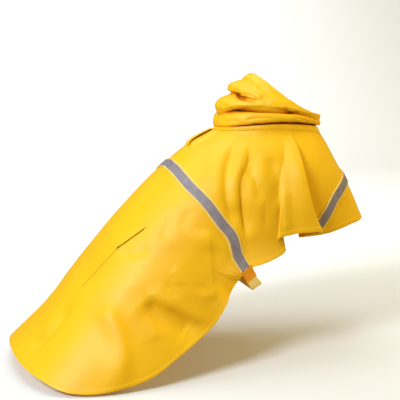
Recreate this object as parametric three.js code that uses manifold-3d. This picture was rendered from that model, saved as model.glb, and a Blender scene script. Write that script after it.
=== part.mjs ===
// Dog raincoat in its worn form: a hooded poncho of coated cloth with reflective strips
// and an elastic belly strap. Millimetres, +X towards the wearer's head, +Y to the
// wearer's left, +Z up. Heights in the tables are above the ground.
import * as THREE from "three";
import { mergeVertices } from "three/addons/utils/BufferGeometryUtils.js";
import Module from "manifold-3d";

const CLOTH = 1.6; // wall of the coated cloth
const SEAM_GAP = 0.3; // between two sewn pieces
const LAID_GAP = 1.5; // between a panel and a strip sewn on it
const EDGE_GAP = 0.6; // between a panel and a small piece's sewn edge
const STRIP_WIDTH = 28; // pale backing of a reflective strip
const TAPE_WIDTH = 20; // grey reflective tape
const STRIP_WALL = 1.2;
const TAPE_WALL = 1;
const ELASTIC_WIDTH = 25;
const ELASTIC_WALL = 2;
const TAB_WALL = 1.6;
const TAB_START = 3.4; // from the end of the back strip
const TAB_GAP = 1.1; // between a tab's end and the elastic
const TAB_OVERLAP = 8; // of a tab over the end of the elastic
const WELT = { turn: [0.131, 0.175], z: [274, 317], width: 7, wall: 1, steps: 8 };
const SLOT = { z: 486, length: 56, width: 9 }; // leash slot, on the centre back
// Rain flap over the slot: turns of its left and right edge, heights of its two ends.
const FLAP = { left: -0.11, right: 0.035, high: 499, low: 470, rise: 11, wall: 1.4, steps: 6 };
const NECK_CENTRE = { x: 156, z: 500 }; // where the wearer's neck carries the coat

const YELLOW = "#f6c521";
const PALE_YELLOW = "#f5dc6a";
const GREY = "#8d8c9c";
const AMBER = "#e09a12";

// Level rings of the body that the cloth hangs from, a row for each height.
const RINGS = [
  { z: -20, back: -516, front: 330, half: 246, widest: -170, fullBack: 0.35, fullFront: 0.1 },
  { z: 30, back: -443, front: 350, half: 232, widest: -150, fullBack: 0.35, fullFront: 0.1 },
  { z: 60, back: -412, front: 365, half: 224, widest: -130, fullBack: 0.32, fullFront: 0.1 },
  { z: 120, back: -354, front: 385, half: 206, widest: -90, fullBack: 0.28, fullFront: 0.1 },
  { z: 190, back: -297, front: 397, half: 190, widest: -40, fullBack: 0.25, fullFront: 0.1 },
  { z: 260, back: -240, front: 400, half: 178, widest: 20, fullBack: 0.22, fullFront: 0.1 },
  { z: 320, back: -187, front: 376, half: 170, widest: 70, fullBack: 0.2, fullFront: 0.12 },
  { z: 380, back: -128, front: 344, half: 162, widest: 110, fullBack: 0.18, fullFront: 0.14 },
  { z: 430, back: -72, front: 314, half: 148, widest: 135, fullBack: 0.12, fullFront: 0.1 },
  { z: 470, back: -20, front: 292, half: 124, widest: 150, fullBack: 0.05, fullFront: 0.05 },
  { z: 500, back: 36, front: 277, half: 97, widest: 155, fullBack: 0, fullFront: 0 },
  { z: 530, back: 36, front: 277, half: 97, widest: 155, fullBack: 0, fullFront: 0 },
];

// The seam under the back strip: its height at each turn. A turn runs from 0 at the
// centre back to 1 at the centre front; it is positive on the right side.
const BACK_SEAM = [
  { turn: 0, z: 431 },
  { turn: 0.1, z: 423 },
  { turn: 0.22, z: 397 },
  { turn: 0.315, z: 366 },
  { turn: 0.4, z: 325 },
  { turn: 0.464, z: 288 },
  { turn: 0.539, z: 228 },
];

// Lines down the cape from the neck seam (top) to its lower edge (low). Rows where low
// turns back are the edges of pleats. out is how far the lower edge stands off the body,
// from is the share of the line where that starts, steps is the mesh columns to the next.
const CAPE_RIGHT = [
  { line: "centre back", top: 0, low: 0, z: 431, out: 0, from: 0, steps: 3 },
  { line: "back", top: 0.09, low: 0.12, z: 0, out: 0, from: 0, steps: 4 },
  { line: "back side", top: 0.2, low: 0.29, z: 0, out: 0, from: 0, steps: 4 },
  { line: "blade", top: 0.28, low: 0.41, z: 0, out: 0, from: 0, steps: 6 },
  { line: "flank", top: 0.335, low: 0.485, z: 0, out: 0, from: 0, steps: 5 },
  { line: "strap", top: 0.375, low: 0.539, z: 228, out: 0, from: 0, steps: 3 },
  { line: "side", top: 0.405, low: 0.568, z: 234, out: 2, from: 0.3, steps: 2 },
  { line: "side front", top: 0.425, low: 0.592, z: 248, out: 4, from: 0.3, steps: 2 },
  { line: "pleat inner edge", top: 0.44, low: 0.6, z: 260, out: 1, from: 0.35, steps: 2 },
  { line: "pleat middle", top: 0.456, low: 0.585, z: 272, out: 6, from: 0.35, steps: 2 },
  { line: "pleat outer edge", top: 0.472, low: 0.569, z: 286, out: 14, from: 0.3, steps: 3 },
  { line: "fold face", top: 0.5, low: 0.608, z: 295, out: 22, from: 0.1, steps: 3 },
  { line: "fold face front", top: 0.532, low: 0.654, z: 298, out: 25, from: 0.08, steps: 2 },
  { line: "fold edge", top: 0.549, low: 0.673, z: 298, out: 23, from: 0.08, steps: 2 },
  { line: "fold edge inner", top: 0.552, low: 0.671, z: 296, out: 18, from: 0.08, steps: 2 },
  { line: "fold return", top: 0.557, low: 0.645, z: 289, out: 9, from: 0.08, steps: 2 },
  { line: "fold root", top: 0.562, low: 0.624, z: 284, out: 2, from: 0.08, steps: 2 },
  { line: "chest root", top: 0.57, low: 0.63, z: 282, out: -3, from: 0, steps: 2 },
  { line: "chest side", top: 0.61, low: 0.7, z: 282, out: -3, from: 0, steps: 4 },
  { line: "chest", top: 0.72, low: 0.79, z: 291, out: 0, from: 0, steps: 5 },
  { line: "chest front", top: 0.86, low: 0.9, z: 291, out: 0, from: 0, steps: 5 },
  { line: "centre front", top: 1, low: 1, z: 288, out: 0, from: 0, steps: 0 },
];

// How far the right side's fold bows back between the neck and its lower edge, by the
// turn at the neck.
const FOLD_BOW = [
  { top: 0.45, bow: 0 },
  { top: 0.48, bow: 0 },
  { top: 0.52, bow: -0.012 },
  { top: 0.57, bow: -0.012 },
  { top: 0.63, bow: 0 },
  { top: 0.66, bow: 0 },
];

// The left side hangs in softer folds of its own.
const CAPE_LEFT = [
  { line: "centre back", top: 0, low: 0, z: 431, out: 0, from: 0, steps: 3 },
  { line: "back", top: 0.09, low: 0.12, z: 0, out: 0, from: 0, steps: 4 },
  { line: "back side", top: 0.2, low: 0.29, z: 0, out: 0, from: 0, steps: 4 },
  { line: "blade", top: 0.28, low: 0.41, z: 0, out: 0, from: 0, steps: 4 },
  { line: "flank", top: 0.335, low: 0.485, z: 0, out: 0, from: 0, steps: 4 },
  { line: "strap", top: 0.375, low: 0.539, z: 228, out: 0, from: 0, steps: 3 },
  { line: "side", top: 0.415, low: 0.57, z: 235, out: 3, from: 0.3, steps: 3 },
  { line: "side front", top: 0.455, low: 0.605, z: 252, out: 3, from: 0.3, steps: 3 },
  { line: "fold face", top: 0.51, low: 0.655, z: 274, out: 16, from: 0.1, steps: 3 },
  { line: "fold edge", top: 0.55, low: 0.688, z: 284, out: 18, from: 0.05, steps: 2 },
  { line: "fold return", top: 0.565, low: 0.69, z: 286, out: 9, from: 0, steps: 2 },
  { line: "chest root", top: 0.58, low: 0.688, z: 286, out: 0, from: 0, steps: 2 },
  { line: "chest side", top: 0.63, low: 0.725, z: 288, out: -4, from: 0, steps: 3 },
  { line: "chest", top: 0.73, low: 0.8, z: 292, out: 5, from: 0.2, steps: 5 },
  { line: "chest front", top: 0.86, low: 0.9, z: 291, out: 0, from: 0, steps: 5 },
  { line: "centre front", top: 1, low: 1, z: 288, out: 0, from: 0, steps: 0 },
];

// Lines down the rear panel from the back seam (top) to the rear hem (low, z).
const REAR_SIDE = [
  { line: "centre back", top: 0, low: 0, z: 42, steps: 3 },
  { line: "tail", top: 0.12, low: 0.09, z: 37, steps: 4 },
  { line: "rump", top: 0.22, low: 0.195, z: 26, steps: 3 },
  { line: "thigh back", top: 0.3, low: 0.31, z: 9, steps: 3 },
  { line: "thigh", top: 0.37, low: 0.395, z: 11, steps: 3 },
  { line: "knee back", top: 0.425, low: 0.475, z: 32, steps: 3 },
  { line: "knee", top: 0.475, low: 0.514, z: 76, steps: 3 },
  { line: "belly", top: 0.51, low: 0.54, z: 130, steps: 3 },
  { line: "strap", top: 0.539, low: 0.543, z: 204, steps: 0 },
];

// Soft folds: valleys have a negative height. Each runs through its turns and heights.
const FOLDS = [
  { fold: "right valley behind the shoulder", side: 1, height: -11, width: 15,
    turn: [0.25, 0.284, 0.3, 0.33, 0.365, 0.41, 0.45], z: [492, 466, 440, 409, 377, 342, 312] },
  { fold: "right ridge behind the shoulder", side: 1, height: 5, width: 14,
    turn: [0.3, 0.335, 0.352, 0.385, 0.43], z: [486, 455, 420, 385, 340] },
  { fold: "right valley on the shoulder", side: 1, height: -12, width: 11,
    turn: [0.34, 0.37, 0.375, 0.408, 0.458, 0.497], z: [482, 450, 416, 376, 329, 292] },
  { fold: "right short valley", side: 1, height: -7, width: 11,
    turn: [0.385, 0.412, 0.452, 0.478], z: [440, 420, 393, 358] },
  { fold: "right valley at the side", side: 1, height: -6, width: 16,
    turn: [0.44, 0.47, 0.506, 0.516], z: [462, 430, 395, 345] },
  { fold: "left valley behind the shoulder", side: -1, height: -9, width: 17,
    turn: [0.22, 0.27, 0.31, 0.37, 0.42], z: [490, 455, 418, 370, 330] },
  { fold: "left valley on the shoulder", side: -1, height: -10, width: 14,
    turn: [0.36, 0.39, 0.43, 0.49, 0.53], z: [482, 440, 390, 330, 275] },
  { fold: "left valley at the side", side: -1, height: -6, width: 17,
    turn: [0.46, 0.49, 0.53, 0.56], z: [465, 420, 360, 310] },
  { fold: "right flank tuck", side: 1, height: -28, width: 52,
    turn: [0.575, 0.58, 0.565], z: [204, 174, 136] },
  { fold: "left flank tuck", side: -1, height: -25, width: 54,
    turn: [0.575, 0.58, 0.565], z: [204, 174, 136] },
  { fold: "right knee trough", side: 1, height: -15, width: 24,
    turn: [0.35, 0.4, 0.46, 0.525], z: [176, 162, 140, 110] },
  { fold: "left knee trough", side: -1, height: -11, width: 30,
    turn: [0.37, 0.43, 0.52], z: [185, 160, 120] },
  { fold: "right thigh ridge", side: 1, height: 9, width: 20,
    turn: [0.25, 0.3, 0.36, 0.4], z: [165, 130, 85, 35] },
  { fold: "left thigh ridge", side: -1, height: 8, width: 24,
    turn: [0.22, 0.28, 0.35], z: [150, 100, 30] },
  { fold: "right tail trough", side: 1, height: -9, width: 17,
    turn: [0.1, 0.1, 0.105, 0.085], z: [155, 120, 88, 66] },
  { fold: "left tail trough", side: -1, height: -7, width: 20,
    turn: [0.12, 0.13, 0.13], z: [170, 120, 70] },
  { fold: "right rump crease", side: 1, height: -4, width: 12,
    turn: [0.212, 0.236, 0.262], z: [345, 322, 298] },
  { fold: "right strip crease", side: 1, height: -4, width: 12,
    turn: [0.272, 0.278, 0.288], z: [352, 338, 320] },
  { fold: "pucker under the pocket", side: 1, height: -4, width: 11,
    turn: [0.146, 0.2, 0.25], z: [264, 263, 276] },
];

// Rings of the neckband and hood, from the neck seam up to the face opening. Each ring is
// a leaning oval through a back point and a front point, given as x and z. rise lifts its
// two sides and lead lifts their back half over their front half.
const HOOD_RINGS = [
  { ring: "neck seam", back: [36, 502], front: [281, 489], half: 97, rise: 12, lead: 0 },
  { ring: "band crease", back: [39, 511], front: [272, 505], half: 93, rise: 15, lead: -2 },
  { ring: "roll low", back: [35, 516], front: [281, 509], half: 99, rise: 19, lead: 2 },
  { ring: "roll high", back: [38, 526], front: [282, 516], half: 101, rise: 22, lead: 11 },
  { ring: "deep crease", back: [46, 533], front: [276, 521], half: 90, rise: 24, lead: 18 },
  { ring: "crown low", back: [42, 541], front: [280, 523], half: 96, rise: 23, lead: 17 },
  { ring: "crown", back: [41, 557], front: [281, 525], half: 97, rise: 16, lead: 10 },
  { ring: "crown high", back: [51, 572], front: [280, 526], half: 95, rise: 8, lead: 3 },
  { ring: "second crease", back: [74, 583], front: [278, 527], half: 87, rise: -1, lead: 0 },
  { ring: "upper fold low", back: [68, 591], front: [279, 528], half: 93, rise: -5, lead: 0 },
  { ring: "upper fold", back: [74, 603], front: [279, 529], half: 94, rise: -9, lead: -1 },
  { ring: "upper fold high", back: [94, 610], front: [278, 530], half: 90, rise: -12, lead: -2 },
  { ring: "third crease", back: [105, 612], front: [276, 530], half: 86, rise: -14, lead: -3 },
  { ring: "rim low", back: [108, 618], front: [279, 531], half: 88, rise: -16, lead: -4 },
  { ring: "rim", back: [120, 625], front: [279, 532], half: 87, rise: -17, lead: -5 },
  { ring: "opening edge", back: [128, 622], front: [275, 529], half: 84, rise: -18, lead: -5 },
];
const HOOD_SPAN = { from: 1, to: HOOD_RINGS.length - 1, rows: 22 };
const HOOD_COLUMNS = 42;

const CAPE_ROWS = 12;
const REAR_ROWS = 14;
const BACK_STATIONS = 64;
const CHEST_STATIONS = 36;
const STRAP_STEPS = 72;
const TAB_STEPS = 6;
const CHEST_LEFT_SHORT = 0.04; // turns by which the chest strip ends earlier on the left

// The chest strip crosses the chest as an arch: middle height at each turn.
const CHEST_STRIP = [
  { turn: 0.662, z: 294 },
  { turn: 0.69, z: 322 },
  { turn: 0.73, z: 354 },
  { turn: 0.77, z: 371 },
  { turn: 0.854, z: 386 },
  { turn: 0.93, z: 392 },
  { turn: 1, z: 395 },
];

// Belly strap, right half: middle line from the tab's end to the lowest point under the belly.
const BELLY_STRAP = [
  { x: 58, y: -160, z: 205 },
  { x: 70, y: -158, z: 190 },
  { x: 79, y: -150, z: 180 },
  { x: 90, y: -125, z: 170 },
  { x: 104, y: -70, z: 158 },
  { x: 110, y: 0, z: 152 },
];

const smoothstep = (a, b, x) => {
  const t = Math.min(1, Math.max(0, (x - a) / (b - a)));
  return t * t * (3 - 2 * t);
};
const mix = (a, b, t) => a + (b - a) * t;

// A smooth curve through one column of a table.
function column(rows, key, name) {
  const xs = rows.map((row) => row[key]);
  const ys = rows.map((row) => row[name]);
  return smoothCurve(xs, ys);
}

function smoothCurve(xs, ys) {
  const last = xs.length - 1;
  const rise = xs.slice(1).map((x, i) => (ys[i + 1] - ys[i]) / (x - xs[i]));
  const slope = ys.map((_, i) => {
    if (i === 0) return rise[0];
    if (i === last) return rise[last - 1];
    const before = xs[i] - xs[i - 1];
    const after = xs[i + 1] - xs[i];
    return (rise[i - 1] * after + rise[i] * before) / (before + after);
  });
  return (x) => {
    if (x <= xs[0]) return ys[0] + (x - xs[0]) * slope[0];
    if (x >= xs[last]) return ys[last] + (x - xs[last]) * slope[last];
    let i = 0;
    while (x > xs[i + 1]) i += 1;
    const h = xs[i + 1] - xs[i];
    const t = (x - xs[i]) / h;
    const t2 = t * t;
    const t3 = t2 * t;
    return (
      ys[i] * (2 * t3 - 3 * t2 + 1) +
      h * slope[i] * (t3 - 2 * t2 + t) +
      ys[i + 1] * (3 * t2 - 2 * t3) +
      h * slope[i + 1] * (t3 - t2)
    );
  };
}

const ring = {};
for (const name of ["back", "front", "half", "widest", "fullBack", "fullFront"]) {
  ring[name] = column(RINGS, "z", name);
}

// Point of the body at a turn and a height.
function bodyPoint(turn, z) {
  const angle = Math.PI * Math.abs(turn);
  const c = Math.cos(angle);
  const s = Math.sin(angle);
  const widest = ring.widest(z);
  const reach = c > 0 ? widest - ring.back(z) : ring.front(z) - widest;
  const full = c > 0 ? ring.fullBack(z) : ring.fullFront(z);
  const y = ring.half(z) * s * (1 + full * c * c);
  return new THREE.Vector3(widest - reach * c, turn > 0 ? -y : y, z);
}

function bodyNormal(turn, z) {
  const d = 0.004;
  const along = bodyPoint(turn + d, z).sub(bodyPoint(turn - d, z));
  const down = bodyPoint(turn, z - 3).sub(bodyPoint(turn, z + 3));
  return down.cross(along).normalize();
}

// Each fold's line in space, for the distance of a cloth point to it.
const foldLines = FOLDS.map((fold) => {
  const share = fold.turn.map((_, i) => i / (fold.turn.length - 1));
  const turnAt = smoothCurve(share, fold.turn);
  const zAt = smoothCurve(share, fold.z);
  const points = [];
  for (let i = 0; i <= 16; i += 1) {
    points.push(bodyPoint(fold.side * turnAt(i / 16), zAt(i / 16)));
  }
  return { ...fold, points };
});

const segment = new THREE.Line3();
const nearest = new THREE.Vector3();

function foldHeight(point) {
  let height = 0;
  for (const fold of foldLines) {
    let best = Infinity;
    let share = 0;
    for (let i = 0; i < 16; i += 1) {
      segment.set(fold.points[i], fold.points[i + 1]);
      const t = segment.closestPointToPointParameter(point, true);
      segment.at(t, nearest);
      const distance = nearest.distanceTo(point);
      if (distance < best) {
        best = distance;
        share = (i + t) / 16;
      }
    }
    const ends = smoothstep(0, 0.25, share) * smoothstep(1, 0.8, share) * 0.75 + 0.25;
    height += fold.height * ends * Math.exp(-((best / fold.width) ** 2));
  }
  return height;
}

// Point of the cloth at a turn, a height and a stand-off.
function clothPoint(turn, z, out = 0) {
  const point = bodyPoint(turn, z);
  const height = foldHeight(point) + out;
  return point.addScaledVector(bodyNormal(turn, z), height);
}

const neckHeight = (turn) => {
  const c = Math.cos(Math.PI * turn);
  return 495.5 + 6.5 * c + 12 * (1 - c * c);
};
const seamHeight = column(BACK_SEAM, "turn", "z");
const foldBow = column(FOLD_BOW, "top", "bow");

// A table of lines read at its mesh columns, for one side.
function meshLines(rows, names) {
  const at = rows.map((_, i) => i);
  const curves = Object.fromEntries(
    names.map((name) => [name, smoothCurve(at, rows.map((row) => row[name]))]),
  );
  const lines = [];
  rows.forEach((row, i) => {
    for (let k = 0; k < row.steps; k += 1) {
      const share = i + k / row.steps;
      lines.push(Object.fromEntries(names.map((name) => [name, curves[name](share)])));
    }
  });
  const end = rows[rows.length - 1];
  lines.push(Object.fromEntries(names.map((name) => [name, end[name]])));
  return lines;
}

const STRAP_TURN = BACK_SEAM[BACK_SEAM.length - 1].turn;

function capeLines(rows, side) {
  const strapRow = rows.findIndex((row) => row.line === "strap");
  const lines = meshLines(rows, ["top", "low"]);
  const hem = meshLines(rows.slice(strapRow), ["z", "out", "from"]);
  const strapLine = rows.slice(0, strapRow).reduce((sum, row) => sum + row.steps, 0);
  return lines.map((line, i) => {
    const onSeam = i <= strapLine;
    const edge = onSeam ? { z: seamHeight(line.low), out: 0, from: 0 } : hem[i - strapLine];
    return { ...line, ...edge, side, onSeam };
  });
}

const capeRight = capeLines(CAPE_RIGHT, 1);
const capeLeft = capeLines(CAPE_LEFT, -1);
// Once round the cape: right side from the centre back to the centre front, then the left
// side back again. Both centre lines are used once.
const capeRound = [...capeRight, ...capeLeft.slice(1, -1).reverse()];

// Rows down one line: even, but the last one is as deep as half the back strip.
function rowShares(rows, length, band) {
  const last = 1 - band / length;
  return Array.from({ length: rows + 1 }, (_, i) => (i === rows ? 1 : (last * i) / (rows - 1)));
}

function capeLinePoints(line) {
  const top = neckHeight(line.top);
  const low = line.z + (line.onSeam ? SEAM_GAP : 0);
  const bow = line.side > 0 ? foldBow(line.top) : 0;
  const turnAt = (share) =>
    line.side * (mix(line.top, line.low, share) + bow * 4 * share * (1 - share));
  const place = (share) => {
    const turn = turnAt(share);
    const z = mix(top, low, share);
    const rise = Math.max(0, (share - line.from) / (1 - line.from));
    return clothPoint(turn, z, line.out * rise ** 0.75);
  };
  const length = place(0).distanceTo(place(0.5)) + place(0.5).distanceTo(place(1));
  return rowShares(CAPE_ROWS, length, STRIP_WIDTH / 2).map((share) => ({
    point: place(share),
    turn: turnAt(share),
    z: mix(top, low, share),
  }));
}

function rearLinePoints(line) {
  const top = seamHeight(line.top);
  const place = (share) => {
    const turn = line.side * mix(line.top, line.low, share);
    return clothPoint(turn, mix(top, line.z, share));
  };
  const length = place(0).distanceTo(place(0.5)) + place(0.5).distanceTo(place(1));
  const band = Math.min(STRIP_WIDTH / 2, length * 0.5);
  return rowShares(REAR_ROWS, length, band)
    .map((share) => 1 - share)
    .reverse()
    .map((share) => ({
      point: place(share),
      turn: line.side * mix(line.top, line.low, share),
      z: mix(top, line.z, share),
    }));
}

// The rear panel uses the cape's columns along the seam, so the strip fits both.
function rearLines() {
  const low = column(REAR_SIDE, "top", "low");
  const z = column(REAR_SIDE, "top", "z");
  const half = (lines, side) =>
    lines
      .filter((line) => line.onSeam)
      .map((line) => ({ top: line.low, low: low(line.low), z: z(line.low), onSeam: true, side }));
  const right = half(capeRight, 1);
  const left = half(capeLeft, -1).slice(1);
  return [...left.reverse(), ...right];
}

// Normals of a grid of points, columns[k][j]; they face out of the coat.
function gridNormals(columns, closed) {
  const count = columns.length;
  const rows = columns[0].length;
  return columns.map((points, k) => {
    const next = columns[closed ? (k + 1) % count : Math.min(k + 1, count - 1)];
    const before = columns[closed ? (k + count - 1) % count : Math.max(k - 1, 0)];
    return points.map((_, j) => {
      const along = next[j].clone().sub(before[j]);
      const down = points[Math.min(j + 1, rows - 1)].clone().sub(points[Math.max(j - 1, 0)]);
      return down.cross(along).normalize();
    });
  });
}

// A closed solid between an inner and an outer grid of the same size.
function slab(inner, outer, closed) {
  const count = inner.length;
  const rows = inner[0].length;
  const positions = [];
  const index = [];
  const id = (layer, k, j) => (layer * count + (closed ? k % count : k)) * rows + j;
  for (const layer of [inner, outer]) {
    for (const points of layer) {
      for (const p of points) positions.push(p.x, p.y, p.z);
    }
  }
  const quad = (a, b, c, d) => index.push(a, b, c, a, c, d);
  const spans = closed ? count : count - 1;
  for (let k = 0; k < spans; k += 1) {
    for (let j = 0; j < rows - 1; j += 1) {
      quad(id(1, k, j), id(1, k, j + 1), id(1, k + 1, j + 1), id(1, k + 1, j));
      quad(id(0, k, j), id(0, k + 1, j), id(0, k + 1, j + 1), id(0, k, j + 1));
    }
    quad(id(0, k, 0), id(1, k, 0), id(1, k + 1, 0), id(0, k + 1, 0));
    quad(id(0, k + 1, rows - 1), id(1, k + 1, rows - 1), id(1, k, rows - 1), id(0, k, rows - 1));
  }
  if (!closed) {
    for (let j = 0; j < rows - 1; j += 1) {
      quad(id(0, 0, j), id(0, 0, j + 1), id(1, 0, j + 1), id(1, 0, j));
      const k = count - 1;
      quad(id(0, k, j), id(1, k, j), id(1, k, j + 1), id(0, k, j + 1));
    }
  }
  return { positions, index };
}

function moved(columns, normals, distance) {
  return columns.map((points, k) =>
    points.map((p, j) => p.clone().addScaledVector(normals[k][j], distance)),
  );
}

function sheet(columns, closed, wall, normals = gridNormals(columns, closed)) {
  const outer = moved(columns, normals, wall);
  return { normals, outer, solid: slab(columns, outer, closed) };
}

const worn = new THREE.Group();
worn.position.set(-NECK_CENTRE.x, 0, -NECK_CENTRE.z);

function addPiece(name, solid, color, roughness) {
  const geometry = new THREE.BufferGeometry();
  geometry.setAttribute("position", new THREE.Float32BufferAttribute(solid.positions, 3));
  geometry.setIndex(solid.index);
  geometry.computeVertexNormals();
  const material = new THREE.MeshStandardMaterial({ color, roughness, metalness: 0 });
  const mesh = new THREE.Mesh(geometry, material);
  mesh.name = name;
  worn.add(mesh);
  return mesh;
}

// Cape and rear panel. Along the seam both take the body's own normals, so that their cut
// edges face each other.
function panel(lines, nodes, closed, seamRow) {
  const columns = nodes.map((line) => line.map((node) => node.point));
  const normals = gridNormals(columns, closed);
  lines.forEach((line, k) => {
    const node = nodes[k][seamRow];
    if (line.onSeam) normals[k][seamRow] = bodyNormal(node.turn, node.z);
    if (closed) normals[k][0] = neckOut(nodes[k][0].turn, 0.4);
  });
  return { lines, nodes, ...sheet(columns, closed, CLOTH, normals) };
}

const cape = panel(capeRound, capeRound.map(capeLinePoints), true, CAPE_ROWS);
const rearRound = rearLines();
const rear = panel(rearRound, rearRound.map(rearLinePoints), false, 0);
addPiece("rear_panel", rear.solid, YELLOW, 0.4);

// Neckband and hood
const ringReaders = {
  backX: (row) => row.back[0],
  backZ: (row) => row.back[1],
  frontX: (row) => row.front[0],
  frontZ: (row) => row.front[1],
  half: (row) => row.half,
  rise: (row) => row.rise,
  lead: (row) => row.lead,
};
const ringCurves = {};
for (const [name, read] of Object.entries(ringReaders)) {
  ringCurves[name] = smoothCurve(HOOD_RINGS.map((_, i) => i), HOOD_RINGS.map(read));
}

function hoodPoint(turn, level) {
  const c = Math.cos(Math.PI * turn);
  const s = Math.sin(Math.PI * turn);
  const backX = ringCurves.backX(level);
  const frontX = ringCurves.frontX(level);
  const backZ = ringCurves.backZ(level);
  const frontZ = ringCurves.frontZ(level);
  const x = (backX + frontX) / 2 - ((frontX - backX) / 2) * c;
  const lift = ringCurves.rise(level) * s * s + ringCurves.lead(level) * Math.abs(s) * c;
  const z = (backZ + frontZ) / 2 - ((frontZ - backZ) / 2) * c + lift;
  return new THREE.Vector3(x, -ringCurves.half(level) * s, z);
}

const hoodTurns = Array.from({ length: HOOD_COLUMNS }, (_, k) => (2 * k) / HOOD_COLUMNS);
const signed = (turn) => (turn > 1 ? turn - 2 : turn);

// The way out of the neck at a turn; sewn edges share it, so that they face each other.
function neckOut(turn, up) {
  const c = Math.cos(Math.PI * turn);
  const s = Math.sin(Math.PI * turn);
  return new THREE.Vector3(-c, -s, up).normalize();
}

const hoodColumns = hoodTurns.map((turn) =>
  Array.from({ length: HOOD_SPAN.rows + 1 }, (_, j) => {
    const point = hoodPoint(turn, mix(HOOD_SPAN.to, HOOD_SPAN.from, j / HOOD_SPAN.rows));
    if (j === HOOD_SPAN.rows) point.z += SEAM_GAP;
    return point;
  }),
);
const hoodNormals = gridNormals(hoodColumns, true);
hoodTurns.forEach((turn, k) => {
  hoodNormals[k][HOOD_SPAN.rows] = neckOut(turn, 0);
});
const hood = sheet(hoodColumns, true, CLOTH, hoodNormals);

// The hood is sewn from a right and a left panel, with a seam on the middle at each end.
function addHoodPanel(name, first, side) {
  const last = HOOD_COLUMNS / 2;
  const columns = (points) =>
    Array.from({ length: last + 1 }, (_, i) =>
      points[(first + i) % HOOD_COLUMNS].map((point) => {
        const moved = point.clone();
        if (i === 0 || i === last) moved.y = (-side * SEAM_GAP) / 2;
        return moved;
      }),
    );
  addPiece(name, slab(columns(hoodColumns), columns(hood.outer), false), YELLOW, 0.4);
}
addHoodPanel("hood_right", 0, 1);
addHoodPanel("hood_left", HOOD_COLUMNS / 2, -1);

// The neckband stands on the cape's neck edge and carries the hood.
const bandColumns = hoodTurns.map((turn) => {
  const top = hoodPoint(turn, 1);
  const low = bodyPoint(signed(turn), neckHeight(turn));
  low.z += SEAM_GAP;
  const middle = top.clone().lerp(low, 0.5).addScaledVector(neckOut(turn, 0), 1);
  return [top, middle, low];
});
const bandNormals = hoodTurns.map((turn) => [
  neckOut(turn, 0),
  neckOut(turn, 0.15),
  neckOut(turn, 0.4),
]);
const neckband = sheet(bandColumns, true, CLOTH, bandNormals);
addPiece("neckband", neckband.solid, YELLOW, 0.4);

// A point on the outer faces of a panel, between the columns first and last, at a turn and
// a height. turnOf reads a node's turn in the count that the caller uses.
function onPanel(panelPiece, first, last, turnOf, turn, z) {
  let best = null;
  const corner = (k, j) => {
    const count = panelPiece.nodes.length;
    const node = panelPiece.nodes[k % count][j];
    return {
      turn: turnOf(node.turn),
      z: node.z,
      point: panelPiece.outer[k % count][j],
      normal: panelPiece.normals[k % count][j],
    };
  };
  const rows = panelPiece.nodes[0].length;
  const test = (a, b, c) => {
    const det = (b.turn - a.turn) * (c.z - a.z) - (c.turn - a.turn) * (b.z - a.z);
    if (Math.abs(det) < 1e-9) return;
    const v = ((turn - a.turn) * (c.z - a.z) - (c.turn - a.turn) * (z - a.z)) / det;
    const w = ((b.turn - a.turn) * (z - a.z) - (turn - a.turn) * (b.z - a.z)) / det;
    const u = 1 - v - w;
    const outside = Math.max(0, -u, -v, -w);
    if (best && best.outside <= outside) return;
    const blend = (key) =>
      a[key].clone().multiplyScalar(u).addScaledVector(b[key], v).addScaledVector(c[key], w);
    best = { outside, point: blend("point"), normal: blend("normal") };
  };
  for (let k = first; k < last; k += 1) {
    for (let j = 0; j < rows - 1; j += 1) {
      const [a, b, c, d] = [corner(k, j), corner(k, j + 1), corner(k + 1, j + 1), corner(k + 1, j)];
      test(a, b, c);
      test(a, c, d);
    }
  }
  best.normal.normalize();
  return best;
}

// A band of points across, laid on a panel along a path of turns and heights.
function bandOnPanel(at, turnAt, zAt, width, stations, shares) {
  const across = stations.map((share) => {
    const turn = turnAt(share);
    const z = zAt(share);
    const middle = at(turn, z);
    const ahead = at(turnAt(share + 0.01), zAt(share + 0.01)).point;
    const behind = at(turnAt(share - 0.01), zAt(share - 0.01)).point;
    const along = ahead.sub(behind).normalize();
    const side = middle.normal.clone().cross(along).normalize();
    const perTurn = at(turn + 0.01, z).point.sub(at(turn - 0.01, z).point).multiplyScalar(50);
    const perZ = at(turn, z + 3).point.sub(at(turn, z - 3).point).divideScalar(6);
    const [aa, ab, bb] = [perTurn.dot(perTurn), perTurn.dot(perZ), perZ.dot(perZ)];
    const [pa, pb] = [perTurn.dot(side), perZ.dot(side)];
    const det = aa * bb - ab * ab;
    const stepTurn = (pa * bb - pb * ab) / det;
    const stepZ = (pb * aa - pa * ab) / det;
    return shares.map((f) => at(turn + stepTurn * width * f, z + stepZ * width * f));
  });
  return {
    points: across.map((row) => row.map((hit) => hit.point)),
    normals: across.map((row) => row.map((hit) => hit.normal)),
  };
}

// Where the points across a strip lie: its edges, the edges of the tape and the middle.
const STRIP_SHARES = [0.5, TAPE_WIDTH / STRIP_WIDTH / 2, 0, -TAPE_WIDTH / STRIP_WIDTH / 2, -0.5];

// Two layers of a strip: the backing on the panel, and the tape on the backing.
function addStrip(name, points, normals) {
  const under = moved(points, normals, LAID_GAP);
  const base = moved(under, normals, STRIP_WALL);
  addPiece(`${name}_base`, slab(under, base, false), PALE_YELLOW, 0.5);
  const narrow = (rows) => rows.map((row) => row.slice(1, 4));
  const seat = moved(narrow(base), narrow(normals), SEAM_GAP);
  const tapeTop = moved(seat, narrow(normals), TAPE_WALL);
  addPiece(`${name}_tape`, slab(seat, tapeTop, false), GREY, 0.55);
}

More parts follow.
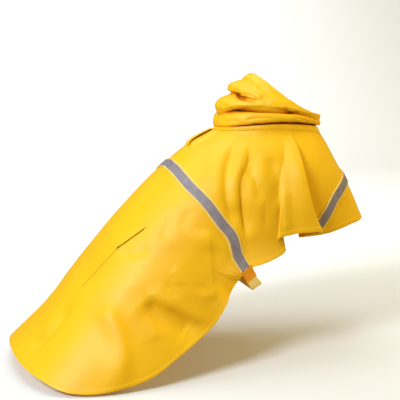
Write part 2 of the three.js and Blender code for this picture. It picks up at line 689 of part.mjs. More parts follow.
// Back strip: over the seam, from the left strap corner to the right one.
const sameTurn = (turn) => turn;
const rearCount = rear.nodes.length;
const capeCount = cape.nodes.length;
const seamCount = capeRight.filter((line) => line.onSeam).length;
const onRear = (turn, z) => onPanel(rear, 0, rearCount - 1, sameTurn, turn, z);
const onBack = (turn, z) =>
  onPanel(cape, capeCount - seamCount - 3, capeCount + seamCount + 3, sameTurn, turn, z);
const onCoat = (turn, z) => {
  const hits = [onRear(turn, z), onBack(turn, z)];
  return hits[0].outside <= hits[1].outside ? hits[0] : hits[1];
};
const backBand = bandOnPanel(
  onCoat,
  (share) => mix(-STRAP_TURN, STRAP_TURN, share),
  (share) => seamHeight(STRAP_TURN * Math.abs(2 * share - 1)),
  STRIP_WIDTH,
  Array.from({ length: BACK_STATIONS + 1 }, (_, i) => i / BACK_STATIONS),
  STRIP_SHARES,
);
addStrip("back_strip", backBand.points, backBand.normals);

// Chest strip: turns count on past the centre front, so that the left side runs to 2.
const rightRoot = capeRight.findIndex((line) => line.top >= 0.5695);
const leftRoot = cape.lines.findLastIndex((line) => line.side < 0 && line.top >= 0.5795);
const roundTurn = (turn) => (turn < 0 ? 2 + turn : turn);
const onChest = (turn, z) => onPanel(cape, rightRoot, leftRoot, roundTurn, turn, z);
const chestHeight = column(CHEST_STRIP, "turn", "z");
const chestStart = CHEST_STRIP[0].turn;
const chestEnd = 2 - chestStart - CHEST_LEFT_SHORT;
const chestTurn = (share) => mix(chestStart, chestEnd, share);
const chestStations = Array.from({ length: CHEST_STATIONS + 1 }, (_, i) => i / CHEST_STATIONS);
const chestBand = bandOnPanel(
  onChest,
  chestTurn,
  (share) => chestHeight(1 - Math.abs(1 - chestTurn(share))),
  STRIP_WIDTH,
  chestStations,
  STRIP_SHARES,
);
addStrip("chest_strip", chestBand.points, chestBand.normals);

// Pocket welt on the right side of the rear panel.
const weltBand = bandOnPanel(
  onRear,
  (share) => mix(WELT.turn[0], WELT.turn[1], share),
  (share) => mix(WELT.z[0], WELT.z[1], share),
  WELT.width,
  Array.from({ length: WELT.steps + 1 }, (_, i) => i / WELT.steps),
  [0.5, -0.5],
);
const weltSeat = moved(weltBand.points, weltBand.normals, EDGE_GAP);
const weltTop = moved(weltSeat, weltBand.normals, WELT.wall);
addPiece("pocket_welt", slab(weltSeat, weltTop, false), YELLOW, 0.4);

// Leash slot: cut through the cape on the centre back, under a flap that is sewn down
// along its left edge and stands open on the right.
const slotMiddle = clothPoint(0, SLOT.z);
const slotNormal = bodyNormal(0.0001, SLOT.z);
const slotAlong = new THREE.Vector3(0, 1, 0).cross(slotNormal).normalize();
const lens = new THREE.Shape();
lens.moveTo(-SLOT.length / 2, 0);
lens.quadraticCurveTo(0, SLOT.width, SLOT.length / 2, 0);
lens.quadraticCurveTo(0, -SLOT.width, -SLOT.length / 2, 0);
const cutter = new THREE.ExtrudeGeometry(lens, { depth: 40, bevelEnabled: false, curveSegments: 8 });
cutter.translate(0, 0, -20);
cutter.applyMatrix4(
  new THREE.Matrix4().makeBasis(
    slotAlong,
    slotNormal.clone().cross(slotAlong),
    slotNormal,
  ).setPosition(slotMiddle),
);

const wasm = await Module();
wasm.setup();

function manifoldOf(geometry) {
  const bare = geometry.clone();
  bare.deleteAttribute("normal");
  bare.deleteAttribute("uv");
  const merged = mergeVertices(bare, 1e-4);
  return new wasm.Manifold(
    new wasm.Mesh({
      numProp: 3,
      vertProperties: merged.getAttribute("position").array,
      triVerts: new Uint32Array(merged.index.array),
    }),
  );
}

const wholeCape = new THREE.BufferGeometry();
wholeCape.setAttribute("position", new THREE.Float32BufferAttribute(cape.solid.positions, 3));
wholeCape.setIndex(cape.solid.index);
const slotted = manifoldOf(wholeCape).subtract(manifoldOf(cutter)).getMesh();
addPiece(
  "cape",
  { positions: Array.from(slotted.vertProperties), index: Array.from(slotted.triVerts) },
  YELLOW,
  0.4,
);

const flapColumns = [];
const flapNormals = [];
for (let k = 0; k <= FLAP.steps; k += 1) {
  const across = k / FLAP.steps;
  const hits = Array.from({ length: FLAP.steps + 1 }, (_, j) =>
    onBack(mix(FLAP.left, FLAP.right, across), mix(FLAP.high, FLAP.low, j / FLAP.steps)),
  );
  flapNormals.push(hits.map((hit) => hit.normal));
  flapColumns.push(
    hits.map((hit, j) => {
      const bow = 0.55 + 0.45 * Math.sin((Math.PI * j) / FLAP.steps);
      const seat = k === 0 ? EDGE_GAP : LAID_GAP;
      const lift = seat + FLAP.rise * bow * smoothstep(0.15, 1, across);
      return hit.point.clone().addScaledVector(hit.normal, lift);
    }),
  );
}
addPiece(
  "leash_slot_flap",
  slab(flapColumns, moved(flapColumns, flapNormals, FLAP.wall), false),
  YELLOW,
  0.4,
);

// Strap tabs and belly strap
const strapCurve = new THREE.CatmullRomCurve3(
  [
    ...BELLY_STRAP.map((p) => new THREE.Vector3(p.x, p.y, p.z)),
    ...BELLY_STRAP.slice(0, -1).reverse().map((p) => new THREE.Vector3(p.x, -p.y, p.z)),
  ],
  false,
  "centripetal",
);
const strapWide = new THREE.Vector3(0.86, 0, 0.5).normalize();
const strapColumns = [];
const strapNormals = [];
for (let k = 0; k <= STRAP_STEPS; k += 1) {
  const centre = strapCurve.getPointAt(k / STRAP_STEPS);
  const along = strapCurve.getTangentAt(k / STRAP_STEPS);
  const wide = strapWide.clone().addScaledVector(along, -strapWide.dot(along)).normalize();
  const out = along.clone().cross(wide).normalize();
  const edge = (f) => centre.clone().addScaledVector(wide, (f * ELASTIC_WIDTH) / 2);
  strapColumns.push([edge(1), edge(-1)]);
  strapNormals.push([out, out]);
}
const strapOuter = moved(strapColumns, strapNormals, ELASTIC_WALL);
addPiece("belly_strap", slab(strapColumns, strapOuter, false), PALE_YELLOW, 0.7);

function addTab(name, side) {
  const last = backBand.points.length - 1;
  const [index, before] = side > 0 ? [last, last - 1] : [0, 1];
  const start = { points: backBand.points[index], normals: backBand.normals[index] };
  const along = start.points[2].clone().sub(backBand.points[before][2]).normalize();
  const [high, , , , low] = start.points;
  const columns = [];
  const normals = [];
  const strapEnd = side > 0 ? strapColumns[0] : strapColumns[STRAP_STEPS];
  const strapOut = side > 0 ? strapNormals[0][0] : strapNormals[STRAP_STEPS][0];
  const endHigh = strapEnd[0].clone().addScaledVector(strapOut, ELASTIC_WALL + TAB_GAP);
  const endLow = strapEnd[1].clone().addScaledVector(strapOut, ELASTIC_WALL + TAB_GAP);
  const overlap = strapCurve.getTangentAt(0).multiplyScalar(TAB_OVERLAP);
  if (side < 0) overlap.y = -overlap.y;
  endHigh.add(overlap);
  endLow.add(overlap);
  const lift = (point) =>
    point
      .clone()
      .addScaledVector(along, TAB_START)
      .addScaledVector(start.normals[2], LAID_GAP + STRIP_WALL + EDGE_GAP);
  const firstHigh = lift(high);
  const firstLow = lift(low);
  for (let k = 0; k <= TAB_STEPS; k += 1) {
    const t = k / TAB_STEPS;
    columns.push([firstHigh.clone().lerp(endHigh, t), firstLow.clone().lerp(endLow, t)]);
    normals.push([0, 1].map(() => start.normals[2].clone().lerp(strapOut, t).normalize()));
  }
  const ordered = side > 0 ? [columns, normals] : [columns.reverse(), normals.reverse()];
  addPiece(name, slab(ordered[0], moved(ordered[0], ordered[1], TAB_WALL), false), AMBER, 0.5);
}
addTab("strap_tab_right", 1);
addTab("strap_tab_left", -1);

const root = new THREE.Group();
root.add(worn);
export default root;
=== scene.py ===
"""Looks of the dog raincoat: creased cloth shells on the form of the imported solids.

The tables are in millimetres in the solids' floor frame: x grows towards the wearer's head, y to
the wearer's left, z is the height above the ground, and the neck is at NECK_CENTRE. A turn runs
from 0 at the centre back to 1 at the centre front, positive on the right side.
"""

import math

import bpy
import numpy as np
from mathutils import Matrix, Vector


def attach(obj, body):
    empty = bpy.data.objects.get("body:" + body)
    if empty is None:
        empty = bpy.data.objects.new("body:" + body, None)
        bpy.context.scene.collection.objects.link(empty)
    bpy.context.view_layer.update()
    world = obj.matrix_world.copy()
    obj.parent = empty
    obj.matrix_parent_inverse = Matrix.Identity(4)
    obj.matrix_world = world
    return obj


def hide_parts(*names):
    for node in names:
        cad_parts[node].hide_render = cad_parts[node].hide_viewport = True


NECK_CENTRE = np.array([156.0, 0.0, 500.0])
CLOTH = 1.6
SEAM_GAP = 0.3
LAID_GAP = 0.7
STRIP_WIDTH = 28.0
STRIP_WALL = 1.2
TAPE_WALL = 0.8
ELASTIC_WIDTH = 25.0
ELASTIC_WALL = 2.0
HEM_WIDTH = 11.0
HEM_RISE = 0.4
HEM_FALL = (HEM_WIDTH + 0.9, HEM_WIDTH - 0.2)  # where the turned hem steps up to its full height
STITCH_LINE = HEM_WIDTH - 2.5  # from a free edge to its row of stitches
SEWN_DOWN = 99.0  # stands for the distance from a free edge where a panel has none
SHARP_ANGLE = math.radians(50)
CREASE_SHADE_DEPTH = 2.4  # hollow at which a crease has its deepest painted shade
CREASE_SHADE_FREE = 0.16  # share of it that is still left without painted shade
SHADE_BLACK_FROM = 0.95  # multiple of it from which a crease's painted shade turns to the black of full shade
# Black of full shade, painted into the deepest creases.
PAINTED_SHADE_BLACK = (0.09, 0.022, 0.0, 1)
CRISP_WIDTH = 8.0  # the narrower side of a fold comes to a sharp line
END_KEPT = 0.12  # share of a fold's height left at its ends
FINE_HEIGHT = 5.0  # lower folds run out to nothing
LINE_POINTS = 17  # points along the line of a fold
SLOT = {"z": 486.0, "length": 56.0, "width": 9.0, "cut": 20.0}
FLAP = {"left": -0.11, "right": 0.012, "high": 501.0, "low": 466.0, "rise": 5.0}
NECKBAND = {"rows": 12, "swell": 1.3, "gathers": 0.35, "gather_turns": 140}
# How far a tab lies over the strip and the elastic, its stand-off there, and its two walls.
TAB = {"on_strip": 1.2, "on_elastic": 9.0, "clear": 0.9, "wider": 1.12, "bow": 1.2}
TAB_WALL, TAB_EDGE = 1.6, 0.5
# Share of its hollows that is painted as shade into the colour of each kind of cloth.
CAPE_HOLLOW_SHADE, REAR_HOLLOW_SHADE, HOOD_HOLLOW_SHADE = 0.7, 0.15, 0.7
POCKET = {"turns": (0.131, 0.175), "z": (274, 317), "width": 7.0, "slit_drop": 6.2, "slit": 3.4}
POCKET_SEAM = {"turns": (0.134, 0.118, 0.1), "z": (271, 228, 187)}

CAMERA = {"place": (-667.0, -2054.0, 765.0), "target": (0.0, 0.0, 345.0), "lens": 88.0}

# Mesh columns for one step of the cape's tables, and rows down a panel.
FINE = 5
PANEL_ROWS = 76
REAR_ROWS = 150
BACK_STATIONS = 300
CHEST_STATIONS = 160

RING_NAMES = ("z", "back", "front", "half", "widest", "full_back", "full_front")
RINGS = [
    (-20, -516, 330, 246, -170, 0.35, 0.1),
    (30, -443, 350, 232, -150, 0.35, 0.1),
    (60, -412, 365, 224, -130, 0.32, 0.1),
    (120, -354, 385, 206, -90, 0.28, 0.1),
    (190, -297, 397, 190, -40, 0.25, 0.1),
    (260, -240, 400, 178, 20, 0.22, 0.1),
    (320, -187, 376, 170, 70, 0.2, 0.12),
    (380, -128, 344, 162, 110, 0.18, 0.14),
    (430, -72, 314, 148, 135, 0.12, 0.1),
    (470, -20, 292, 124, 150, 0.05, 0.05),
    (500, 36, 277, 97, 155, 0, 0),
    (530, 36, 277, 97, 155, 0, 0),
]

# Seam under the back strip: turn, z.
BACK_SEAM = [
    (0, 431),
    (0.1, 423),
    (0.22, 397),
    (0.315, 366),
    (0.4, 325),
    (0.464, 291),
    (0.539, 228),
]
STRAP_TURN = BACK_SEAM[-1][0]

# Lines down the cape: name, turn at the neck, turn at the lower edge, z of the lower edge,
# stand-off of the lower edge, share of the line where the stand-off starts, steps to the next.
CAPE_NAMES = ("line", "top", "low", "z", "out", "start", "steps")
CAPE_RIGHT = [
    ("centre back", 0, 0, 431, 0, 0, 3),
    ("back", 0.09, 0.12, 0, 0, 0, 4),
    ("back side", 0.2, 0.29, 0, 0, 0, 4),
    ("blade", 0.28, 0.41, 0, 0, 0, 6),
    ("flank", 0.335, 0.485, 0, 0, 0, 5),
    ("strap", 0.375, 0.539, 228, 0, 0, 3),
    ("side", 0.405, 0.568, 234, 2, 0.3, 2),
    ("side front", 0.425, 0.592, 248, 4, 0.3, 2),
    ("pleat inner edge", 0.44, 0.6, 260, 1, 0.35, 2),
    ("pleat middle", 0.456, 0.585, 272, 6, 0.35, 2),
    ("pleat outer edge", 0.472, 0.569, 286, 9, 0.3, 3),
    ("fold face", 0.5, 0.598, 295, 18, 0.1, 3),
    ("fold face front", 0.532, 0.632, 298, 36, 0.06, 2),
    ("fold edge", 0.549, 0.647, 298, 40, 0.04, 2),
    ("fold edge inner", 0.552, 0.648, 296, 33, 0.04, 2),
    ("fold return", 0.557, 0.635, 289, 14, 0.06, 2),
    ("fold root", 0.562, 0.624, 284, 2, 0.08, 2),
    ("chest root", 0.57, 0.63, 282, -3, 0, 2),
    ("chest side", 0.61, 0.7, 282, -3, 0, 4),
    ("chest", 0.72, 0.79, 291, 0, 0, 5),
    ("chest front", 0.86, 0.9, 291, 0, 0, 5),
    ("centre front", 1, 1, 288, 0, 0, 0),
]
# How far the right fold bows back between neck and lower edge: turn at the neck, bow.
FOLD_BOW = [(0.45, 0), (0.48, 0), (0.52, -0.012), (0.57, -0.012), (0.63, 0), (0.66, 0)]

CAPE_LEFT = [
    ("centre back", 0, 0, 431, 0, 0, 3),
    ("back", 0.09, 0.12, 0, 0, 0, 4),
    ("back side", 0.2, 0.29, 0, 0, 0, 4),
    ("blade", 0.28, 0.41, 0, 0, 0, 4),
    ("flank", 0.335, 0.485, 0, 0, 0, 4),
    ("strap", 0.375, 0.539, 228, 0, 0, 3),
    ("side", 0.415, 0.57, 235, 3, 0.3, 3),
    ("side front", 0.455, 0.605, 252, 3, 0.3, 3),
    ("fold face", 0.51, 0.655, 274, 16, 0.1, 3),
    ("fold edge", 0.55, 0.688, 284, 18, 0.05, 2),
    ("fold return", 0.565, 0.69, 286, 9, 0, 2),
    ("chest root", 0.58, 0.688, 286, 0, 0, 2),
    ("chest side", 0.63, 0.725, 288, -4, 0, 3),
    ("chest", 0.73, 0.8, 292, 5, 0.2, 5),
    ("chest front", 0.86, 0.9, 291, 0, 0, 5),
    ("centre front", 1, 1, 288, 0, 0, 0),
]

# Lines down the rear panel: name, turn at the seam, turn at the hem, z of the hem.
REAR_SIDE = [
    ("centre back", 0, 0, 42),
    ("tail", 0.12, 0.09, 37),
    ("rump", 0.22, 0.195, 26),
    ("thigh back", 0.3, 0.31, 9),
    ("thigh", 0.37, 0.395, 11),
    ("knee back", 0.425, 0.475, 32),
    ("knee", 0.475, 0.514, 76),
    ("belly", 0.51, 0.54, 130),
    ("strap", 0.539, 0.543, 204),
]

# Folds and creases: name, side, height (valleys below 0), width on the back or lower side,
# width on the front or upper side, then the turns and heights that each runs through.
FOLDS = [
    ("right valley behind the shoulder", 1, -7, 11, 22,
     (0.25, 0.284, 0.3, 0.33, 0.365, 0.41, 0.45), (492, 466, 440, 409, 377, 342, 312)),
    ("right ridge behind the shoulder", 1, 3, 16, 16,
     (0.3, 0.335, 0.352, 0.385, 0.43), (486, 455, 420, 385, 340)),
    ("right valley on the shoulder", 1, -8.5, 7, 24,
     (0.34, 0.37, 0.375, 0.408, 0.458, 0.497), (482, 450, 416, 376, 329, 292)),
    ("right short valley", 1, -3, 12, 12,
     (0.385, 0.412, 0.452, 0.478), (440, 420, 393, 358)),
    ("right valley at the side", 1, -5, 18, 15,
     (0.44, 0.47, 0.506, 0.516), (462, 430, 395, 345)),
    ("left valley behind the shoulder", -1, -6.5, 15, 22,
     (0.22, 0.27, 0.31, 0.37, 0.42), (490, 455, 418, 370, 330)),
    ("left valley on the shoulder", -1, -7.5, 9, 22,
     (0.36, 0.39, 0.43, 0.49, 0.53), (482, 440, 390, 330, 275)),
    ("left valley at the side", -1, -4.6, 18, 18,
     (0.46, 0.49, 0.53, 0.56), (465, 420, 360, 310)),
    ("right flank tuck", 1, -28, 52, 52, (0.575, 0.58, 0.565), (204, 174, 136)),
    ("left flank tuck", -1, -25, 54, 54, (0.575, 0.58, 0.565), (204, 174, 136)),
    ("right knee trough", 1, -12, 30, 15, (0.33, 0.39, 0.456, 0.53), (182, 158, 138, 108)),
    ("left knee trough", -1, -9, 32, 18, (0.33, 0.4, 0.46, 0.53), (190, 168, 144, 112)),
    ("right thigh ridge", 1, 7, 30, 18, (0.22, 0.29, 0.355, 0.42), (176, 134, 88, -6)),
    ("left thigh ridge", -1, 6, 32, 20, (0.2, 0.27, 0.34, 0.4), (176, 128, 78, -6)),
    ("right tail trough", 1, -7, 22, 14, (0.1, 0.108, 0.108, 0.07), (160, 120, 86, 60)),
    ("left tail trough", -1, -5, 24, 18, (0.12, 0.13, 0.13, 0.1), (176, 128, 88, 50)),
    ("right rump crease", 1, -2, 6, 18, (0.212, 0.236, 0.262), (352, 322, 290)),
    ("right strip crease", 1, -1.8, 6, 18, (0.272, 0.278, 0.288), (358, 338, 312)),
    ("pucker under the pocket", 1, -3.5, 8, 15, (0.146, 0.2, 0.25), (264, 263, 276)),
    # Finer creases that the solids leave out
    ("rise along the slot", 1, 7, 26, 15, (0.0, 0.0, 0.0), (503, 486, 462)),
    ("crease under the slot", 1, -3, 3, 5, (-0.02, 0.0, 0.022), (477, 468, 458)),
    ("sharp heel of the shoulder valley", 1, -2.6, 3.5, 13,
     (0.372, 0.408, 0.458, 0.508), (414, 376, 329, 284)),
    ("crease to the strap corner", 1, -1.2, 5, 8, (0.412, 0.432, 0.462), (420, 400, 372)),
    ("fine crease on the shoulder top", 1, -1, 4, 8, (0.34, 0.352, 0.378), (476, 460, 442)),
    ("diagonal crease at the neck", 1, -1, 9, 6, (0.46, 0.494, 0.53), (478, 462, 444)),
    ("edge beside the fold face", 1, 2.4, 5, 12, (0.52, 0.534, 0.56, 0.578), (400, 372, 330, 296)),
    ("crease on the side panel", 1, -1.4, 9, 6, (0.482, 0.508, 0.53), (372, 342, 306)),
    ("edge over the knee trough", 1, 3, 7, 26, (0.32, 0.39, 0.456, 0.53), (194, 172, 152, 126)),
    ("thigh fold line", 1, 2.2, 22, 7, (0.21, 0.296, 0.362, 0.408), (172, 132, 86, 39)),
    ("outer thigh fold line", 1, 1.8, 20, 7, (0.348, 0.394, 0.44), (169, 134, 99)),
    ("tail trough floor", 1, -1.8, 7, 14, (0.066, 0.09, 0.108, 0.104), (62, 80, 105, 146)),
    ("second pucker under the pocket", 1, -1, 6, 9, (0.206, 0.23, 0.256), (270, 272, 283)),
    ("edge of the flank", 1, 4, 34, 7.5,
     (0.37, 0.396, 0.446, 0.496, 0.525), (318, 293, 248, 201, 172)),
    ("flank shade fold", 1, -4, 28, 30, (0.405, 0.43, 0.462, 0.49), (290, 255, 215, 178)),
    ("flank crease", 1, 1.6, 8, 16, (0.352, 0.378, 0.4), (235, 225, 204)),
    ("low flank crease", 1, -1.2, 7, 14, (0.36, 0.39, 0.41), (206, 196, 180)),
    ("left sharp heel", -1, -2.4, 4, 12, (0.39, 0.44, 0.5), (435, 380, 315)),
    ("left rump crease", -1, -1.8, 7, 18, (0.19, 0.24, 0.28), (345, 305, 265)),
    ("left thigh fold line", -1, 2, 22, 8, (0.28, 0.36, 0.43), (176, 110, 46)),
    ("left strip crease", -1, -1.5, 7, 18, (0.29, 0.31, 0.34), (355, 325, 285)),
    ("chest valley", 1, -2, 22, 22, (0.7, 0.72, 0.75), (450, 390, 320)),
    ("left chest valley", -1, -4, 18, 16, (0.74, 0.76, 0.78), (440, 390, 330)),
]

# Rings of the neckband and hood: name, back x and z, front x and z, half width, the rise of both
# sides, and the lead of the back half of each side over its front half.
HOOD_NAMES = ("ring", "back_x", "back_z", "front_x", "front_z", "half", "rise", "lead")
HOOD_RINGS = [
    ("neck seam", 36, 502, 281, 489, 97, 12, 0),
    ("band crease", 40, 511, 271, 505, 91.5, 15, -2),
    ("roll low", 36, 515, 281, 508, 100, 18.5, 1),
    ("roll high", 39, 525, 282, 516, 100.5, 22, 11),
    ("deep crease", 42.5, 533, 279, 521, 96.5, 24, 18),
    ("crown low", 42, 541, 280, 523, 97, 23, 17),
    ("crown", 42, 555, 281, 525, 97, 16, 10),
    ("crown high", 53, 568, 280, 526, 94, 9, 4),
    ("second crease", 76, 582, 278, 527, 87, -1, 0),
    ("upper fold low", 68, 591, 279, 528, 93, -5, 0),
    ("upper fold", 74, 603, 279, 529, 94, -9, -1),
    ("upper fold high", 94, 610, 278, 530, 90, -12, -2),
    ("third crease", 105, 612, 276, 530, 86, -14, -3),
    ("rim low", 108, 618, 279, 531, 88, -16, -4),
    ("rim", 120, 625, 279, 532, 87, -17, -5),
    ("opening edge", 128, 622, 275, 529, 84, -18, -5),
]
HOOD_COLUMNS = 240
HOOD_ROWS = 150

CHEST_STRIP = [
    (0.662, 294),
    (0.69, 322),
    (0.73, 354),
    (0.77, 371),
    (0.854, 386),
    (0.93, 392),
    (1, 395),
]

BELLY_STRAP = [
    (58, -160, 205),
    (70, -158, 190),
    (79, -150, 180),
    (90, -125, 170),
    (104, -70, 158),
    (110, 0, 152),
]


def smoothstep(a, b, x):
    t = np.clip((x - a) / (b - a), 0, 1)
    return t * t * (3 - 2 * t)


def mix(a, b, t):
    return a + (b - a) * t


def unit(v):
    return v / np.linalg.norm(v, axis=-1, keepdims=True)


def smooth_curve(xs, ys):
    """A smooth curve through points, straight beyond both ends."""
    xs = np.asarray(xs, float)
    ys = np.asarray(ys, float)
    step = np.diff(xs)
    rise = np.diff(ys) / step
    slope = np.concatenate([rise[:1], rise[-1:]])
    if len(xs) > 2:
        inner = (rise[:-1] * step[1:] + rise[1:] * step[:-1]) / (step[:-1] + step[1:])
        slope = np.concatenate([rise[:1], inner, rise[-1:]])

    def at(x):
        x = np.asarray(x, float)
        i = np.clip(np.searchsorted(xs, x) - 1, 0, len(xs) - 2)
        h = xs[i + 1] - xs[i]
        t = (x - xs[i]) / h
        inside = (
            ys[i] * (2 * t**3 - 3 * t**2 + 1)
            + h * slope[i] * (t**3 - 2 * t**2 + t)
            + ys[i + 1] * (3 * t**2 - 2 * t**3)
            + h * slope[i + 1] * (t**3 - t**2)
        )
        before = ys[0] + (x - xs[0]) * slope[0]
        after = ys[-1] + (x - xs[-1]) * slope[-1]
        return np.where(x <= xs[0], before, np.where(x >= xs[-1], after, inside))

    return at


def table_curves(rows, names, by=None):
    """A smooth curve for each number column of a table, along its column by or its row index."""
    keys = [row[names.index(by)] for row in rows] if by else range(len(rows))
    return {
        name: smooth_curve(keys, [row[i] for row in rows])
        for i, name in enumerate(names)
        if not isinstance(rows[0][i], str)
    }


ring = table_curves(RINGS, RING_NAMES, by="z")
seam_height = smooth_curve(*zip(*BACK_SEAM))
chest_height = smooth_curve(*zip(*CHEST_STRIP))
rear_low = smooth_curve([row[1] for row in REAR_SIDE], [row[2] for row in REAR_SIDE])
rear_hem = smooth_curve([row[1] for row in REAR_SIDE], [row[3] for row in REAR_SIDE])
fold_bow = smooth_curve(*zip(*FOLD_BOW))


def body_point(turn, z):
    """Where the cloth hangs at a turn and a height, before its folds."""
    turn = np.asarray(turn, float)
    z = np.asarray(z, float)
    turn, z = np.broadcast_arrays(turn, z)
    angle = math.pi * np.abs(turn)
    c = np.cos(angle)
    s = np.sin(angle)
    widest = ring["widest"](z)
    reach = np.where(c > 0, widest - ring["back"](z), ring["front"](z) - widest)
    full = np.where(c > 0, ring["full_back"](z), ring["full_front"](z))
    y = ring["half"](z) * s * (1 + full * c * c)
    return np.stack([widest - reach * c, np.where(turn > 0, -y, y), z], -1)


def body_normal(turn, z):
    d = 0.004
    along = body_point(turn + d, z) - body_point(turn - d, z)
    down = body_point(turn, z - 3) - body_point(turn, z + 3)
    return unit(np.cross(down, along))


def fold_line(surface, fold):
    """Line of a fold on a surface, from its row in a table of folds."""
    name, side, height, back, front, turns, levels = fold
    share = np.linspace(0, 1, len(turns))
    even = np.linspace(0, 1, LINE_POINTS)
    points = surface(side * smooth_curve(share, turns)(even), smooth_curve(share, levels)(even))
    return {"side": side, "height": height, "back": back, "front": front, "points": points}


FOLD_LINES = [fold_line(body_point, fold) for fold in FOLDS]


def one_fold(line, points, normals):
    """Height of one fold at cloth points, from their distance to its line."""
    starts = line["points"][:-1]
    steps = line["points"][1:] - starts
    best = np.full(len(points), np.inf)
    share = np.zeros(len(points))
    ahead = np.zeros(len(points))
    for i, (start, step) in enumerate(zip(starts, steps)):
        t = np.clip(((points - start) @ step) / (step @ step), 0, 1)
        away = points - start - t[:, None] * step
        distance = np.linalg.norm(away, axis=-1)
        nearer = distance < best
        facing = np.einsum("ij,ij->i", np.cross(normals, step), away) * line["side"]
        best = np.where(nearer, distance, best)
        share = np.where(nearer, (i + t) / len(steps), share)
        ahead = np.where(nearer, facing, ahead)
    width = np.where(ahead > 0, line["front"], line["back"])
    power = np.where(width < CRISP_WIDTH, 1.3, 2.0)
    kept = END_KEPT if abs(line["height"]) > FINE_HEIGHT else 0
    ends = smoothstep(0, 0.25, share) * smoothstep(1, 0.8, share) * (1 - kept) + kept
    return line["height"] * ends * np.exp(-((best / width) ** power))


def fold_height(points, normals):
    """Height of all folds together over the plain body."""
    flat_points = points.reshape(-1, 3)
    flat_normals = normals.reshape(-1, 3)
    height = np.zeros(len(flat_points))
    for line in FOLD_LINES:
        reach = 3 * max(line["front"], line["back"])
        low = line["points"].min(0) - reach
        high = line["points"].max(0) + reach
        near = np.all((flat_points > low) & (flat_points < high), axis=-1)
        if near.any():
            height[near] += one_fold(line, flat_points[near], flat_normals[near])
    return height.reshape(points.shape[:-1])


def soft_waves(turn, z):
    """The slight unevenness of hanging coated cloth, in millimetres."""
    a = np.sin(turn * 23 + z * 0.031 + 0.6) * np.sin(z * 0.043 - turn * 9)
    b = np.sin(turn * 51 - z * 0.052 + 2.1) * np.sin(z * 0.027 + turn * 17 + 1.3)
    return 0.55 * a + 0.25 * b


def cloth_point(turn, z, out=0.0):
    """Inner face of the cloth at a turn, a height and a stand-off."""
    point = body_point(turn, z)
    normal = body_normal(turn, z)
    height = fold_height(point, normal) + soft_waves(turn, z)
    return point + normal * (height + out)[..., None]


def neck_height(turn):
    c = np.cos(math.pi * turn)
    return 495.5 + 6.5 * c + 12 * (1 - c * c)


def neck_out(turn, up):
    """The way out of the neck at a turn; sewn edges share it."""
    turn, up = np.broadcast_arrays(turn, up)
    return unit(np.stack([-np.cos(math.pi * turn), -np.sin(math.pi * turn), up], -1))


def grid_normals(points, closed):
    """Normals of points[column][row] that face out of the coat."""
    if closed:
        along = np.roll(points, -1, 0) - np.roll(points, 1, 0)
    else:
        along = np.gradient(points, axis=0)
    down = np.gradient(points, axis=1)
    return unit(np.cross(down, along))


def hollow(points, normals, closed, columns, rows):
    """How far the cloth a few columns and rows away stands over each point, in millimetres."""
    count, depth = points.shape[:2]
    k = np.arange(count)
    j = np.arange(depth)
    stands = np.zeros((count, depth))
    for shift in (-1, 1):
        side = k + shift * columns
        side = side % count if closed else np.clip(side, 0, count - 1)
        level = np.clip(j + shift * rows, 0, depth - 1)
        stands += ((points[side] - points) * normals).sum(-1)
        stands += ((points[:, level] - points) * normals).sum(-1)
    return stands / 4


def to_frame(points):
    """Millimetres of the floor frame to metres of the shared frame."""
    return (np.asarray(points) - NECK_CENTRE) / 1000


def arc(points, axis):
    """Length along an axis of a grid of points, from its start, in metres."""
    steps = np.linalg.norm(np.diff(points, axis=axis), axis=-1)
    total = np.cumsum(steps, axis=axis)
    pad = [(0, 0)] * steps.ndim
    pad[axis] = (1, 0)
    return np.pad(total, pad) / 1000


def middle_length(grid, axis=0):
    """Length of a band's middle line in metres, to the millimetre."""
    line = np.take(grid, [grid.shape[1 - axis] // 2], axis=1 - axis)
    return round(float(arc(line, axis).max()), 3)


def cut_from_edge(points, distance):
    """Cut of a panel in metres: the way along its free edge, and the distance from it."""
    along = np.broadcast_to(arc(points, 0)[:, -1:], distance.shape)
    return np.stack([along, distance / 1000], -1)


def new_mesh(name, points, faces):
    mesh = bpy.data.meshes.new(name)
    mesh.from_pydata(np.asarray(points).tolist(), [], [list(map(int, face)) for face in faces])
    mesh.update()
    return mesh


def new_object(name, data):
    thing = bpy.data.objects.new(name, data)
    bpy.context.scene.collection.objects.link(thing)
    return thing


def new_piece(name, points, faces, material, corner_uv=None, values=None):
    """A piece of the coat as a mesh object, smooth but for its cut edges, in metres."""
    mesh = new_mesh(name, to_frame(points), faces)
    if corner_uv is not None:
        layer = mesh.uv_layers.new(name="cut")
        layer.data.foreach_set("uv", np.asarray(corner_uv, np.float32).ravel())
    for key, per_point in (values or {}).items():
        attribute = mesh.attributes.new(key, "FLOAT", "POINT")
        attribute.data.foreach_set("value", np.asarray(per_point, np.float32).ravel())
    mesh.polygons.foreach_set("use_smooth", np.ones(len(mesh.polygons), bool))
    mesh.set_sharp_from_angle(angle=SHARP_ANGLE)
    mesh.materials.append(material)
    mesh.update()
    piece = new_object(name, mesh)
    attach(piece, "root")
    return piece


